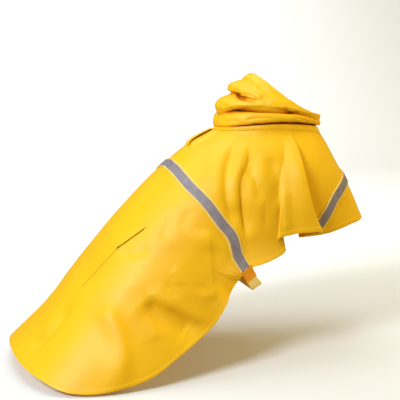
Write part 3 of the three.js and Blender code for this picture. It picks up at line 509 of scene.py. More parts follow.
def slab(name, inner, outer, closed, material, uv=None, values=None):
    """A closed shell between an inner and an outer grid of points[column][row]."""
    count, rows = inner.shape[:2]
    spans = count if closed else count - 1
    k = np.arange(spans)[:, None]
    j = np.arange(rows - 1)[None, :]
    over = (k + 1) % count
    end = rows - 1

    def at(layer, column, row):
        return (layer * count + column) * rows + row

    def quads(*corners):
        return np.stack(np.broadcast_arrays(*corners), -1).reshape(-1, 4)

    faces = [
        quads(at(1, k, j), at(1, k, j + 1), at(1, over, j + 1), at(1, over, j)),
        quads(at(0, k, j), at(0, over, j), at(0, over, j + 1), at(0, k, j + 1)),
        quads(at(0, k, 0), at(1, k, 0), at(1, over, 0), at(0, over, 0)),
        quads(at(0, over, end), at(1, over, end), at(1, k, end), at(0, k, end)),
    ]
    if not closed:
        a = j.ravel()[:, None]
        b = a + 1
        last = count - 1
        faces.append(quads(at(0, 0, a), at(0, 0, b), at(1, 0, b), at(1, 0, a)))
        faces.append(quads(at(0, last, a), at(1, last, a), at(1, last, b), at(0, last, b)))
    faces = np.concatenate(faces)
    if uv is None:
        uv = np.stack([arc(outer, 0), arc(outer, 1)], -1)
    per_point = np.concatenate([uv.reshape(-1, 2), uv.reshape(-1, 2)])
    corner_uv = per_point[faces]
    if closed:
        # The last span runs on to the full length, so that the weave doesn't fold back.
        along = corner_uv[..., 0]
        wraps = along.max(1) - along.min(1) > 0.5 * per_point[:, 0].max()
        girth = per_point[:, 0].max() * count / (count - 1)
        low = along < 0.25 * girth
        corner_uv[..., 0] = np.where(wraps[:, None] & low, along + girth, along)
    both = {key: np.concatenate([0 * v.ravel(), v.ravel()]) for key, v in (values or {}).items()}
    points = np.concatenate([inner.reshape(-1, 3), outer.reshape(-1, 3)])
    return new_piece(name, points, faces, material, corner_uv, both)


def line_index(rows):
    """Places between the rows of a table where a mesh column goes, as row numbers."""
    places = [
        i + np.arange(row[-1] * FINE) / (row[-1] * FINE) for i, row in enumerate(rows) if row[-1]
    ]
    return np.concatenate(places + [[len(rows) - 1.0]])


class CapeSide:
    """One side of the cape, read at a row number of its table and a share of the way down."""

    def __init__(self, rows, side):
        self.side = side
        self.rows = rows
        self.strap = [row[0] for row in rows].index("strap")
        self.turns = table_curves(rows, CAPE_NAMES)
        self.hem = table_curves(rows[self.strap :], CAPE_NAMES)

    def edge(self, place):
        """Turns of a line, and its lower edge's height, stand-off and start."""
        top = self.turns["top"](place)
        low = self.turns["low"](place)
        on_seam = place <= self.strap + 1e-9
        past = place - self.strap
        z = np.where(on_seam, seam_height(low) + SEAM_GAP, self.hem["z"](past))
        out = np.where(on_seam, 0, self.hem["out"](past))
        start = np.where(on_seam, 0, self.hem["start"](past))
        return top, low, z, out, start, on_seam

    def turn_and_height(self, place, share):
        top, low, z, out, start, on_seam = self.edge(place)
        bow = fold_bow(top) * (1 if self.side > 0 else 0)
        turn = mix(top, low, share) + bow * 4 * share * (1 - share)
        return self.side * turn, mix(neck_height(top), z, share)

    def point(self, place, share):
        turn, height = self.turn_and_height(place, share)
        top, low, z, out, start, on_seam = self.edge(place)
        rise = np.maximum(0, (share - start) / (1 - start)) ** 0.75
        return cloth_point(turn, height, out * rise)

    def find(self, turn, z):
        """Row number and share of the point of the cape at a turn and a height."""
        lines = line_index(self.rows)
        place = np.interp(np.abs(turn), self.turns["low"](lines), lines)
        share = np.full_like(place, 0.5)
        step = 1e-3
        for _ in range(12):
            t0, z0 = self.turn_and_height(place, share)
            t1, z1 = self.turn_and_height(place + step, share)
            t2, z2 = self.turn_and_height(place, share + step)
            a, b = (t1 - t0) / step, (t2 - t0) / step
            c, d = (z1 - z0) / step, (z2 - z0) / step
            det = a * d - b * c
            dt, dz = turn - t0, z - z0
            place = place + np.clip((d * dt - b * dz) / det, -0.7, 0.7)
            share = share + np.clip((a * dz - c * dt) / det, -0.3, 0.3)
        return place, share


cape_right = CapeSide(CAPE_RIGHT, 1)
cape_left = CapeSide(CAPE_LEFT, -1)


def row_shares(length, count=PANEL_ROWS):
    """Shares down a panel's line: even rows, then close ones for the turned hem."""
    edge = np.array([HEM_WIDTH + 2.5, *HEM_FALL, HEM_WIDTH / 2, 1.0, 0.0])
    close = 1 - np.minimum(edge[None, :] / length[:, None], np.linspace(0.5, 0, len(edge)))
    even = np.linspace(0, 1, count, endpoint=False)[None, :] * close[:, :1]
    return np.concatenate([even, close], 1)


def hem_thickness(distance):
    """The turned hem is two layers thick and rounds off at its edge."""
    turned = smoothstep(*HEM_FALL, distance)
    rounded = smoothstep(-0.4, 1.0, distance)
    return HEM_RISE * turned * (0.35 + 0.65 * rounded)


def cape_shell():
    sides = []
    for half in (cape_right, cape_left):
        place = line_index(half.rows)
        length = np.linalg.norm(
            np.diff(half.point(place[:, None], np.linspace(0, 1, 5)[None, :]), axis=1), axis=-1
        ).sum(1)
        share = row_shares(length)
        points = half.point(place[:, None], share)
        turn, z = half.turn_and_height(place[:, None], share)
        distance = (1 - share) * length[:, None]
        on_seam = place <= half.strap + 1e-9
        sides.append([points, turn, z, distance, on_seam])
    joined = []
    for right, left in zip(*sides):
        joined.append(np.concatenate([right, left[1:-1][::-1]]))
    points, turn, z, distance, on_seam = joined
    normals = grid_normals(points, True)
    normals[:, 0] = neck_out(turn[:, 0], 0.4)
    normals[on_seam, -1] = body_normal(turn[on_seam, -1], z[on_seam, -1])
    hem = hem_thickness(distance) * np.where(on_seam, 0, 1)[:, None]
    outer = points + normals * (CLOTH + hem)[..., None]
    uv = cut_from_edge(points, distance)
    steps = FINE * 3 // 5
    # Painted shade: the cape's hollows, carried as the crease attribute, darken its colour.
    crease = CAPE_HOLLOW_SHADE * hollow(points, grid_normals(points, True), True, steps, 2)
    free_edge = np.where(on_seam[:, None], SEWN_DOWN, distance)
    return points, outer, normals, uv, crease, free_edge


def rear_shell():
    places = {}
    for half in (cape_right, cape_left):
        top, low, z, out, start, on_seam = half.edge(line_index(half.rows))
        places[half.side] = low[on_seam]
    top = np.concatenate([-places[-1][1:][::-1], places[1]])
    side = np.where(top < 0, -1, 1)
    low = rear_low(np.abs(top))
    hem = rear_hem(np.abs(top))

    def grid(share):
        turn = side[:, None] * mix(np.abs(top)[:, None], low[:, None], share)
        z = mix(seam_height(np.abs(top))[:, None], hem[:, None], share)
        return turn, z

    turn, z = grid(np.linspace(0, 1, 5)[None, :])
    length = np.linalg.norm(np.diff(body_point(turn, z), axis=1), axis=-1).sum(1)
    share = row_shares(length, REAR_ROWS)
    turn, z = grid(share)
    distance = (1 - share) * length[:, None]
    points = cloth_point(turn, z)
    normals = grid_normals(points, False)
    normals[:, 0] = body_normal(turn[:, 0], z[:, 0])
    outer = points + normals * (CLOTH + hem_thickness(distance))[..., None]
    uv = cut_from_edge(points, distance)
    steps = FINE * 2 // 5
    # Painted shade: the rear panel's hollows, carried as the crease attribute, darken its colour.
    crease = REAR_HOLLOW_SHADE * hollow(points, grid_normals(points, False), False, steps, 2)
    return points, outer, normals, uv, crease, distance


def hood_ring_points(curves, turn, level):
    c = np.cos(math.pi * turn)
    s = np.sin(math.pi * turn)
    back_x, front_x = curves["back_x"](level), curves["front_x"](level)
    back_z, front_z = curves["back_z"](level), curves["front_z"](level)
    x = (back_x + front_x) / 2 - (front_x - back_x) / 2 * c
    lift = curves["rise"](level) * s * s + curves["lead"](level) * np.abs(s) * c
    z = (back_z + front_z) / 2 - (front_z - back_z) / 2 * c + lift
    return np.stack([x, -curves["half"](level) * s, z], -1)


def hood_curves(left_out=()):
    """Curves through the hood's rings, without the rings that fade away there."""
    kept = [(i, row) for i, row in enumerate(HOOD_RINGS) if row[0] not in left_out]
    keys = [i for i, row in kept]
    return {
        name: smooth_curve(keys, [row[n] for i, row in kept])
        for n, name in enumerate(HOOD_NAMES)
        if n
    }


HOOD_FADING = ("crown high", "second crease", "upper fold low", "upper fold high", "third crease",
               "rim low", "rim")
creased_hood = hood_curves()
smooth_hood = hood_curves(HOOD_FADING)

# Creases of the hood: name, side, height, width below, width above, turns, ring levels. Each line
# runs forward, so that its lower side is on the right, seen from outside.
HOOD_FOLDS = [
    ("deep crease, right", 1, -12, 6, 5.5,
     (-0.05, 0.078, 0.158, 0.252, 0.33, 0.4, 0.474, 0.54, 0.6),
     (4.3, 4.45, 4.33, 3.88, 3.5, 3.33, 3.43, 3.8, 4.2)),
    ("end of the deep crease", 1, -3, 5, 4,
     (0.5, 0.58, 0.66, 0.76, 0.86), (3.6, 4.0, 4.3, 4.5, 4.6)),
    ("lip over the deep crease", 1, 0.8, 3, 6,
     (0.1, 0.18, 0.26, 0.34, 0.42, 0.5, 0.58), (4.95, 4.75, 4.35, 3.95, 3.8, 4.0, 4.7)),
    ("deep crease, left", -1, -10, 6, 3.4,
     (0.0, 0.1, 0.2, 0.32, 0.44, 0.56, 0.68), (4.3, 4.4, 4.1, 3.8, 3.7, 3.9, 4.3)),
    ("second crease, right", 1, -5.5, 3.5, 13,
     (0.0, 0.132, 0.236, 0.33, 0.414), (8.3, 7.6, 7.28, 6.9, 5.7)),
    ("second crease, left", -1, -6, 4, 9,
     (0.0, 0.14, 0.26, 0.38, 0.48), (8.3, 7.8, 7.4, 6.9, 6.0)),
    ("fold over the second crease", 1, 1.6, 8, 12, (0.1, 0.2, 0.3, 0.38), (8.9, 8.6, 8.3, 7.4)),
    ("small crease on the upper panel", 1, -2.4, 4, 10,
     (0.29, 0.32, 0.36, 0.42), (9.8, 9.2, 8.3, 6.3)),
    ("diagonal crease on the upper panel", 1, -2.4, 6, 6, (0.17, 0.23, 0.3), (9.3, 9.3, 8.7)),
    ("upper side of the pucker", 1, -2.6, 3, 4, (0.045, 0.095, 0.145), (6.85, 7.0, 6.75)),
    ("lower side of the pucker", 1, -2.6, 4, 3, (0.045, 0.1, 0.158), (6.25, 5.95, 6.15)),
    ("long crease in the roll", 1, -2.4, 3, 6, (0.26, 0.33, 0.4, 0.46), (2.2, 2.42, 2.4, 2.1)),
    ("thin crease in the roll", 1, -1.4, 3, 4, (0.1, 0.16, 0.23), (2.7, 2.4, 2.5)),
    ("front crease in the roll", 1, -2, 3, 5, (0.55, 0.64, 0.74), (2.7, 2.3, 2.4)),
    ("bunched cloth", 1, -3, 3.5, 6, (0.0, 0.066, 0.134), (9.4, 9.15, 9.25)),
    ("bunched cloth over it", 1, -2, 3.5, 5, (0.03, 0.08, 0.14), (10.3, 10.0, 10.3)),
    ("pit in the bunched cloth", 1, -4, 3.4, 3.4, (0.085, 0.1, 0.115), (10.4, 10.33, 10.3)),
    ("left bunched cloth", -1, -3.5, 4, 5, (0.02, 0.08, 0.15), (9.3, 9.1, 9.3)),
    ("left crease on the upper panel", -1, -2.6, 4, 7, (0.3, 0.36, 0.44), (9.6, 8.4, 6.6)),
    ("left crease in the roll", -1, -2, 3, 5, (0.25, 0.4, 0.6), (2.5, 2.3, 2.6)),
]

# Lines of painted shade, where the hood's cloth lies in its own shade: name, side, strength,
# width below, width above, turns, ring levels.
HOOD_SHADE = [
    ("deep crease, right", 1, 2.3, 3.4, 4.6,
     (-0.05, 0.078, 0.158, 0.252, 0.33, 0.4, 0.474, 0.54, 0.62, 0.72),
     (4.2, 4.4, 4.25, 3.8, 3.45, 3.3, 3.4, 3.75, 4.2, 4.5)),
    ("deep crease, left", -1, 2.4, 3.2, 2.6,
     (0.0, 0.1, 0.2, 0.32, 0.44, 0.56, 0.68), (4.3, 4.4, 4.1, 3.8, 3.7, 3.9, 4.3)),
    ("under the roll, right", 1, 4.6, 3.0, 5.0,
     (0.1, 0.25, 0.42, 0.55, 0.75, 0.95), (1.2, 1.25, 1.3, 1.3, 1.25, 1.2)),
    ("under the roll, left", -1, 3.0, 3.0, 2.2, (0.1, 0.4, 0.7, 0.95), (1.15, 1.2, 1.2, 1.15)),
    ("second crease, right", 1, 1.0, 2.6, 3, (0.02, 0.132, 0.236, 0.33), (8.1, 7.6, 7.28, 6.9)),
]


def plain_hood_point(turn, level):
    """The hood's rolls all round at the back; the upper ones run out into one smooth panel."""
    turn, level = np.broadcast_arrays(np.asarray(turn, float), np.asarray(level, float))
    weight = smoothstep(0.16, 0.4, np.abs(turn)) * smoothstep(5.6, 7.4, level)
    creased = hood_ring_points(creased_hood, turn, level)
    smooth = hood_ring_points(smooth_hood, turn, level)
    return mix(creased, smooth, weight[..., None])


def turns_round():
    """Turns of the hood's columns, once round the neck from the centre back."""
    turn = np.arange(HOOD_COLUMNS) * 2 / HOOD_COLUMNS
    return np.where(turn > 1, turn - 2, turn)


def hood_folds(table, points, normals):
    """Heights of all lines of a table of hood creases together."""
    flat_points = points.reshape(-1, 3)
    flat_normals = normals.reshape(-1, 3)
    lines = [fold_line(plain_hood_point, row) for row in table]
    height = sum(one_fold(line, flat_points, flat_normals) for line in lines)
    return height.reshape(points.shape[:2])


def hood_shell():
    turn = turns_round()[:, None]
    level = np.linspace(len(HOOD_RINGS) - 1, 1, HOOD_ROWS)[None, :]
    points = plain_hood_point(turn, level)
    points[:, -1, 2] += SEAM_GAP
    normals = grid_normals(points, True)
    height = hood_folds(HOOD_FOLDS, points, normals)
    shade = hood_folds(HOOD_SHADE, points, normals)
    gathers = 0.5 * np.sin(turn * 61 + level * 1.7) * np.sin(level * 2.3 + turn * 13)
    pinned = smoothstep(1, 1.6, level)
    height = (height + gathers) * pinned
    points = points + normals * height[..., None]
    normals = grid_normals(points, True)
    normals[:, -1] = neck_out(turn[:, 0], 0)
    rim = arc(points, 1) * 1000
    outer = points + normals * (CLOTH + hem_thickness(rim))[..., None]
    uv = cut_from_edge(points, rim)
    # Painted shade: hollows and shade lines, as the crease attribute, darken the colour.
    crease = HOOD_HOLLOW_SHADE * hollow(points, grid_normals(points, True), True, 3, 7)
    crease = crease + shade * CREASE_SHADE_DEPTH / 2
    return points, outer, normals, uv, crease, rim


def neckband_shell():
    turn = turns_round()
    top = plain_hood_point(turn, np.ones_like(turn))
    low = cloth_point(turn, neck_height(turn)) + np.array([0, 0, SEAM_GAP])
    share = np.linspace(0, 1, NECKBAND["rows"])[None, :, None]
    swell = 4 * share * (1 - share)
    bulge = neck_out(turn, 0)[:, None] * swell * NECKBAND["swell"]
    points = mix(top[:, None], low[:, None], share) + bulge
    waves = np.sin(turn * NECKBAND["gather_turns"])[:, None]
    gathers = NECKBAND["gathers"] * waves * swell[..., 0]
    normals = neck_out(turn[:, None], mix(0, 0.4, share[..., 0]))
    points = points + normals * gathers[..., None]
    # Painted shade: the roll above keeps light off the upper edge, so the colour darkens there.
    shade = smoothstep(0.24, 0.06, share[..., 0]) * smoothstep(0.08, 0.3, turn)[:, None]
    shade = 2 * CREASE_SHADE_DEPTH * shade
    return points, points + normals * CLOTH, normals, shade


def coat_outside(turn, z):
    """Outer face of the rear panel, or of the cape over the back."""
    return cloth_point(turn, z) + body_normal(turn, z) * CLOTH


def chest_outside(turn, z):
    """Outer face of the cape on the chest; turns past 1 are on the left side."""
    turn, z = np.broadcast_arrays(np.asarray(turn, float), np.asarray(z, float))
    answer = np.zeros(turn.shape + (3,))
    for half, chosen, own in ((cape_right, turn <= 1, turn), (cape_left, turn > 1, turn - 2)):
        if not chosen.any():
            continue
        place, share = half.find(own[chosen], z[chosen])
        step = 0.02
        middle = half.point(place, share)
        along = (half.point(place + step, share) - half.point(place - step, share)) * half.side
        down = half.point(place, share + step) - half.point(place, share - step)
        answer[chosen] = middle + unit(np.cross(down, along)) * CLOTH
    return answer


def per_step(surface, turn, z):
    """Ways over a surface for one turn and for one millimetre of height."""
    return (
        (surface(turn + 0.012, z) - surface(turn - 0.012, z)) / 0.024,
        (surface(turn, z + 4) - surface(turn, z - 4)) / 8,
    )


def band_on(surface, turn_at, z_at, width, stations, shares):
    """Points[station][share] of a band laid on a surface along a path of turns and heights."""
    turn = turn_at(stations)
    z = z_at(stations)
    near = 0.006
    ahead = surface(turn_at(stations + near), z_at(stations + near))
    along = ahead - surface(turn_at(stations - near), z_at(stations - near))
    per_turn, per_z = per_step(surface, turn, z)
    normal = -unit(np.cross(per_z, per_turn))
    side = unit(np.cross(normal, along))
    aa = (per_turn * per_turn).sum(-1)
    ab = (per_turn * per_z).sum(-1)
    bb = (per_z * per_z).sum(-1)
    pa = (per_turn * side).sum(-1)
    pb = (per_z * side).sum(-1)
    det = aa * bb - ab * ab
    step_turn = (pa * bb - pb * ab) / det
    step_z = (pb * aa - pa * ab) / det
    f = shares[None, :] * width
    return surface(turn[:, None] + step_turn[:, None] * f, z[:, None] + step_z[:, None] * f)


# Places of the mesh lines across a strip: close ones over its corded edge, then the tape's.
CORD_SHARES = [0.5, 0.495, 0.48, 0.455, 0.42, 0.385]
TAPE_SHARES = [0.36, 0.27, 0.18, 0.09, 0]
STRIP_HALF = np.array(CORD_SHARES + TAPE_SHARES)
STRIP_SHARES = np.concatenate([STRIP_HALF, -STRIP_HALF[-2::-1]])
TAPE_COLUMNS = slice(len(CORD_SHARES), len(STRIP_SHARES) - len(CORD_SHARES))


def strip_pieces(name, band, materials):
    """The pale backing with its corded edges, the reflective tape and its stitching."""
    length = middle_length(band)
    normals = grid_normals(band, False)
    across = np.abs(STRIP_SHARES)
    cord = np.exp(-(((across - 0.455) / 0.03) ** 2)) * 0.7
    edge = smoothstep(0.5, 0.485, across)
    wall = (0.25 + (STRIP_WALL - 0.25) * edge + cord * edge)[None, :, None]
    under = band + normals * LAID_GAP
    top = under + normals * wall
    base = slab(f"{name}_backing", under, top, False, materials["binding"])
    facing = normals[:, TAPE_COLUMNS]
    seat = under[:, TAPE_COLUMNS] + facing * (STRIP_WALL + SEAM_GAP)
    tape_edge = smoothstep(0.36, 0.33, across[TAPE_COLUMNS])
    face = seat + facing * (0.3 + (TAPE_WALL - 0.3) * tape_edge)[None, :, None]
    tape = slab(f"{name}_reflector", seat, face, False, materials["tape"])
    rows = []
    middle = seat[:, seat.shape[1] // 2]
    for column in (0, -1):
        path = mix(seat[:, column], middle, 0.06) + facing[:, column] * TAPE_WALL
        rows.append((path, facing[:, column]))
    stitches(f"{name}_stitches", rows, materials["pale_thread"])
    return base, tape


# Faces of a stitch: its ends are corners 0 and 1, and its four sides follow.
SPINDLE_FACES = np.array(
    [[0, 2, 4], [0, 4, 3], [0, 3, 5], [0, 5, 2], [1, 4, 2], [1, 3, 4], [1, 5, 3], [1, 2, 5]]
)


def stitches(name, rows, material, length=3.0, gap=1.5, width=0.38, height=0.3):
    """Rows of single stitches, each a small spindle of thread along its row."""
    points = []
    faces = []
    for path, normals in rows:
        steps = np.linalg.norm(np.diff(path, axis=0), axis=-1)
        along = np.concatenate([[0], np.cumsum(steps)])
        places = np.arange(gap, along[-1] - length, length + gap)
        if not len(places):
            continue

        def at(values, s):
            return np.stack([np.interp(s, along, values[:, i]) for i in range(3)], -1)

        start = at(path, places)
        end = at(path, places + length)
        normal = unit(at(normals, places + length / 2))
        side = unit(np.cross(normal, end - start))
        middle = (start + end) / 2
        wide, high = side * width, normal * height
        spindle = [start, end, middle + wide, middle - wide, middle + high, middle - high]
        first = sum(len(p) for p in points)
        points.append(np.stack(spindle, 1).reshape(-1, 3))
        offsets = first + len(spindle) * np.arange(len(places))
        faces.append((SPINDLE_FACES[None] + offsets[:, None, None]).reshape(-1, 3))
    return new_piece(name, np.concatenate(points), np.concatenate(faces), material)


def stitch_line(points, normals, distance, chosen=None):
    """The row of points where a grid has the stitches along its free edge."""
    chosen = np.ones(len(points), bool) if chosen is None else chosen
    path, facing = [], []
    for column in np.flatnonzero(chosen):
        order = np.argsort(distance[column])
        d = distance[column][order]
        for row, values in ((path, points), (facing, normals)):
            row.append([np.interp(STITCH_LINE, d, values[column][order, i]) for i in range(3)])
    return np.array(path), unit(np.array(facing))


def strap_curve(share):
    """Middle line of the belly strap, from the right tab (0) round to the left one (1)."""
    half = np.array(BELLY_STRAP, float)
    knots = np.concatenate([half, half[:-1][::-1] * [1, -1, 1]])
    ends = [2 * knots[0] - knots[1], 2 * knots[-1] - knots[-2]]
    line = np.concatenate([ends[:1], knots, ends[1:]])
    dense = []
    for p0, p1, p2, p3 in zip(line, line[1:], line[2:], line[3:]):
        d0, d1, d2 = (np.linalg.norm(b - a) ** 0.5 for a, b in ((p0, p1), (p1, p2), (p2, p3)))
        m1 = ((p1 - p0) / d0 - (p2 - p0) / (d0 + d1) + (p2 - p1) / d1) * d1
        m2 = ((p2 - p1) / d1 - (p3 - p1) / (d1 + d2) + (p3 - p2) / d2) * d1
        t = np.linspace(0, 1, 24, endpoint=False)[:, None]
        dense.append(
            p1 * (2 * t**3 - 3 * t**2 + 1)
            + m1 * (t**3 - 2 * t**2 + t)
            + p2 * (3 * t**2 - 2 * t**3)
            + m2 * (t**3 - t**2)
        )
    dense = np.concatenate(dense + [knots[-1:]])
    length = np.concatenate([[0], np.cumsum(np.linalg.norm(np.diff(dense, axis=0), axis=-1))])
    length /= length[-1]
    return np.stack([np.interp(share, length, dense[:, i]) for i in range(3)], -1)


def strap_frame(stations):
    centre = strap_curve(stations)
    along = unit(strap_curve(stations + 0.01) - strap_curve(stations - 0.01))
    along[0] = unit(strap_curve(np.array([0.02])) - centre[:1])[0]
    along[-1] = unit(centre[-1:] - strap_curve(np.array([0.98])))[0]
    wide = unit(np.array([0.86, 0, 0.5]))
    wide = unit(wide - along * (along @ wide)[:, None])
    out = unit(np.cross(along, wide))
    return centre, along, wide, out


def belly_strap(materials):
    """Ribbed elastic from tab to tab, under the belly."""
    stations = np.linspace(0, 1, 260)
    centre, along, wide, out = strap_frame(stations)
    share = np.linspace(0.5, -0.5, 45)
    inner = centre[:, None] + wide[:, None] * (share * ELASTIC_WIDTH)[None, :, None]
    ribs = 0.5 + 0.5 * np.cos(share * 2 * math.pi * 6)
    edge = smoothstep(0.5, 0.46, np.abs(share))
    wall = (0.6 + (ELASTIC_WALL - 0.9) * edge + 0.6 * ribs * edge)[None, :, None]
    outer = inner + out[:, None] * wall
    strap = slab("belly_elastic", inner, outer, False, materials["elastic"])
    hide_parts("belly_strap")
    return centre, along, wide, out


def strap_tab(name, side, band, frame, materials):
    """Cloth tab from the end of the back strip, over the end of the elastic."""
    row, before = (-1, -2) if side > 0 else (0, 1)
    station = -1 if side < 0 else 0
    centre, along, wide, out = (values[station] for values in frame)
    normals = grid_normals(band, False)[row]
    middle = band.shape[1] // 2
    ahead = unit(band[row, middle] - band[before, middle])
    start = band[row] + ahead * TAB["on_strip"] + normals * (LAID_GAP + STRIP_WALL)
    share = np.linspace(0.5, -0.5, band.shape[1])
    on_elastic = along * side * TAB["on_elastic"] + out * (ELASTIC_WALL + TAB["clear"])
    end = centre + on_elastic + wide * (share * ELASTIC_WIDTH * TAB["wider"])[:, None]
    t = np.linspace(0, 1, 26)[:, None, None]
    grid = mix(start[None], end[None], t)
    grid_out = unit(mix(normals[None], out[None, None], t))
    grid = grid + grid_out * (TAB["bow"] * np.sin(math.pi * t))
    if side < 0:
        grid = grid[::-1]
        grid_out = grid_out[::-1]
    wall = TAB_EDGE + (TAB_WALL - TAB_EDGE) * smoothstep(0.5, 0.44, np.abs(share))
    tab = slab(name, grid, grid + grid_out * wall[None, :, None], False, materials["tab"])
    middle_length(grid)
    lane = [2, band.shape[1] - 3]
    rows = [(grid[:, i] + grid_out[:, i] * TAB_WALL, grid_out[:, i]) for i in lane]
    for at in ((2, -3) if side > 0 else (-3, 2)):
        path = grid[at, 2:-2] + grid_out[at, 2:-2] * TAB_WALL
        rows.append((path, grid_out[at, 2:-2]))
    stitches(f"{name}_stitches", rows, materials["thread"], length=2.2, gap=1.2)
    return tab


def slot_cutter():
    """Lens-shaped cutter of the leash slot, square to the back."""
    middle = cloth_point(np.array([0.0]), np.array([SLOT["z"]]))[0]
    normal = body_normal(np.array([0.0001]), np.array([SLOT["z"]]))[0]
    along = unit(np.cross(np.array([0.0, 1.0, 0.0]), normal))
    across = np.cross(normal, along)
    t = np.linspace(0, 1, 15)
    reach = (t - 0.5) * SLOT["length"]
    bow = 2 * t * (1 - t) * SLOT["width"]
    outline = list(zip(reach, bow)) + list(zip(reach[-2:0:-1], -bow[-2:0:-1]))
    level = [middle + along * x + across * y for x, y in outline]
    low = [point - normal * SLOT["cut"] for point in level]
    high = [point + normal * SLOT["cut"] for point in level]
    count = len(outline)
    faces = [list(range(count))[::-1], list(range(count, 2 * count))]
    faces += [[i, (i + 1) % count, count + (i + 1) % count, count + i] for i in range(count)]
    return new_object("slot_cutter", new_mesh("slot_cutter", to_frame(low + high), faces))


def cut_slot(cape):
    cutter = slot_cutter()
    cut = cape.modifiers.new("slot", "BOOLEAN")
    cut.operation = "DIFFERENCE"
    cut.solver = "EXACT"
    cut.object = cutter
    bpy.context.view_layer.objects.active = cape
    with bpy.context.temp_override(object=cape, active_object=cape, selected_objects=[cape]):
        bpy.ops.object.modifier_apply(modifier=cut.name)
    bpy.data.objects.remove(cutter, do_unlink=True)
    cape.data.set_sharp_from_angle(angle=SHARP_ANGLE)


def slot_flap(materials):
    """Rain flap over the slot, sewn down along its left edge and open on the right."""
    steps = 30
    across = np.linspace(0, 1, steps)[:, None]
    down = np.linspace(0, 1, steps)[None, :]
    turn = mix(FLAP["left"], FLAP["right"], across) + 0 * down
    z = mix(FLAP["high"], FLAP["low"], down) + 0 * across
    bow = np.sin(math.pi * mix(0.06, 0.94, down)) ** 0.8
    lift = LAID_GAP + FLAP["rise"] * bow * smoothstep(0.1, 1, across)
    seat = coat_outside(turn, z)
    normals = body_normal(turn, z)
    points = seat + normals * lift[..., None]
    rim = np.minimum(np.minimum(across, 1 - across), np.minimum(down, 1 - down)) * 90
    wall = (0.3 + 0.8 * smoothstep(0, 2.2, rim))[..., None]
    flap = slab("slot_flap", points, points + normals * wall, False, materials["cloth"])
    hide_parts("leash_slot_flap")
    row = points[2] + normals[2] * 1.5
    stitches("slot_flap_stitches", [(row, normals[2])], materials["thread"])


def pocket(materials):
    """Welt pocket on the right side: the welt, a dark band of painted shade for the slit under it,
    and the sewn pocket edge.
    """
    turns = smooth_curve([0, 1], POCKET["turns"])
    heights = smooth_curve([0, 1], POCKET["z"])
    stations = np.linspace(0, 1, 60)
    share = np.linspace(0.5, -0.5, 9)
    band = band_on(coat_outside, turns, heights, POCKET["width"], stations, share)
    normals = grid_normals(band, False)
    ends = smoothstep(0, 0.04, stations) * smoothstep(1, 0.96, stations)
    rim = smoothstep(0.5, 0.36, np.abs(share))
    wall = 0.3 + 1.3 * rim[None, :] * mix(0.5, 1, ends)[:, None]
    seat = band + normals * 0.5
    face = seat + normals * wall[..., None]
    welt = slab("pocket_welt_cloth", seat, face, False, materials["cloth"])
    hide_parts("pocket_welt")
    # The slit is a thin dark brown band on the cloth: painted shade where the opening lies in
    # shadow.
    slit_z = smooth_curve([0, 1], [z - POCKET["slit_drop"] for z in POCKET["z"]])
    slit = band_on(coat_outside, turns, slit_z, POCKET["slit"], stations, share)
    slit_normals = grid_normals(slit, False)
    dark = 0.2 + 0.25 * rim[None, :] * ends[:, None]
    floor = slit + slit_normals * 0.25
    face = floor + slit_normals * dark[..., None]
    shade = slab("pocket_slit_shade", floor, face, False, materials["slit"])
    line = np.linspace(0, 1, 80)
    turn, z = (smooth_curve([0, 0.5, 1], POCKET_SEAM[key])(line) for key in ("turns", "z"))
    path = coat_outside(turn, z)
    facing = body_normal(turn, z)
    stitches("pocket_edge_stitches", [(path + facing * 0.25, facing)], materials["dark_thread"],
             length=3.6, gap=0.4, width=1.1, height=0.4)
    top = seat + normals * 1.4
    stitches("pocket_welt_stitches", [(top[:, 2], normals[:, 2])], materials["thread"])
    return welt


def link(tree, start, end):
    tree.links.new(start, end)


def effect_group(name, inputs, outputs):
    """An empty shader node group with named sockets: {name: (type, default)} and {name: type}."""
    group = bpy.data.node_groups.new(name, "ShaderNodeTree")
    for key, (kind, default) in inputs.items():
        socket = group.interface.new_socket(key, in_out="INPUT", socket_type=kind)
        socket.default_value = default
    for key, kind in outputs.items():
        group.interface.new_socket(key, in_out="OUTPUT", socket_type=kind)
    start = group.nodes.new("NodeGroupInput")
    end = group.nodes.new("NodeGroupOutput")
    return group, start.outputs, end.inputs


def feed(tree, socket, value):
    """Give a socket a constant, or the output of another node."""
    if isinstance(value, (int, float, tuple)):
        socket.default_value = value
    else:
        tree.links.new(value, socket)


def math_node(tree, operation, *values):
    node = tree.nodes.new("ShaderNodeMath")
    node.operation = operation
    for socket, value in zip(node.inputs, values):
        feed(tree, socket, value)
    return node.outputs[0]


def clamped(tree, value):
    return math_node(tree, "MINIMUM", math_node(tree, "MAXIMUM", value, 0.0), 1.0)


def sine_wave(tree, place, per_metre):
    turns = math_node(tree, "MULTIPLY", place, per_metre)
    return math_node(tree, "SINE", math_node(tree, "MULTIPLY", turns, 2 * math.pi))


def noise(tree, place, scale, detail=2):
    node = tree.nodes.new("ShaderNodeTexNoise")
    node.inputs["Scale"].default_value = scale
    node.inputs["Detail"].default_value = detail
    link(tree, place, node.inputs["Vector"])
    return node.outputs["Fac"]


def colour_mix(tree, factor, first, second):
    node = tree.nodes.new("ShaderNodeMix")
    node.data_type = "RGBA"
    for i, value in ((0, factor), (6, first), (7, second)):
        feed(tree, node.inputs[i], value)
    return node.outputs[2]


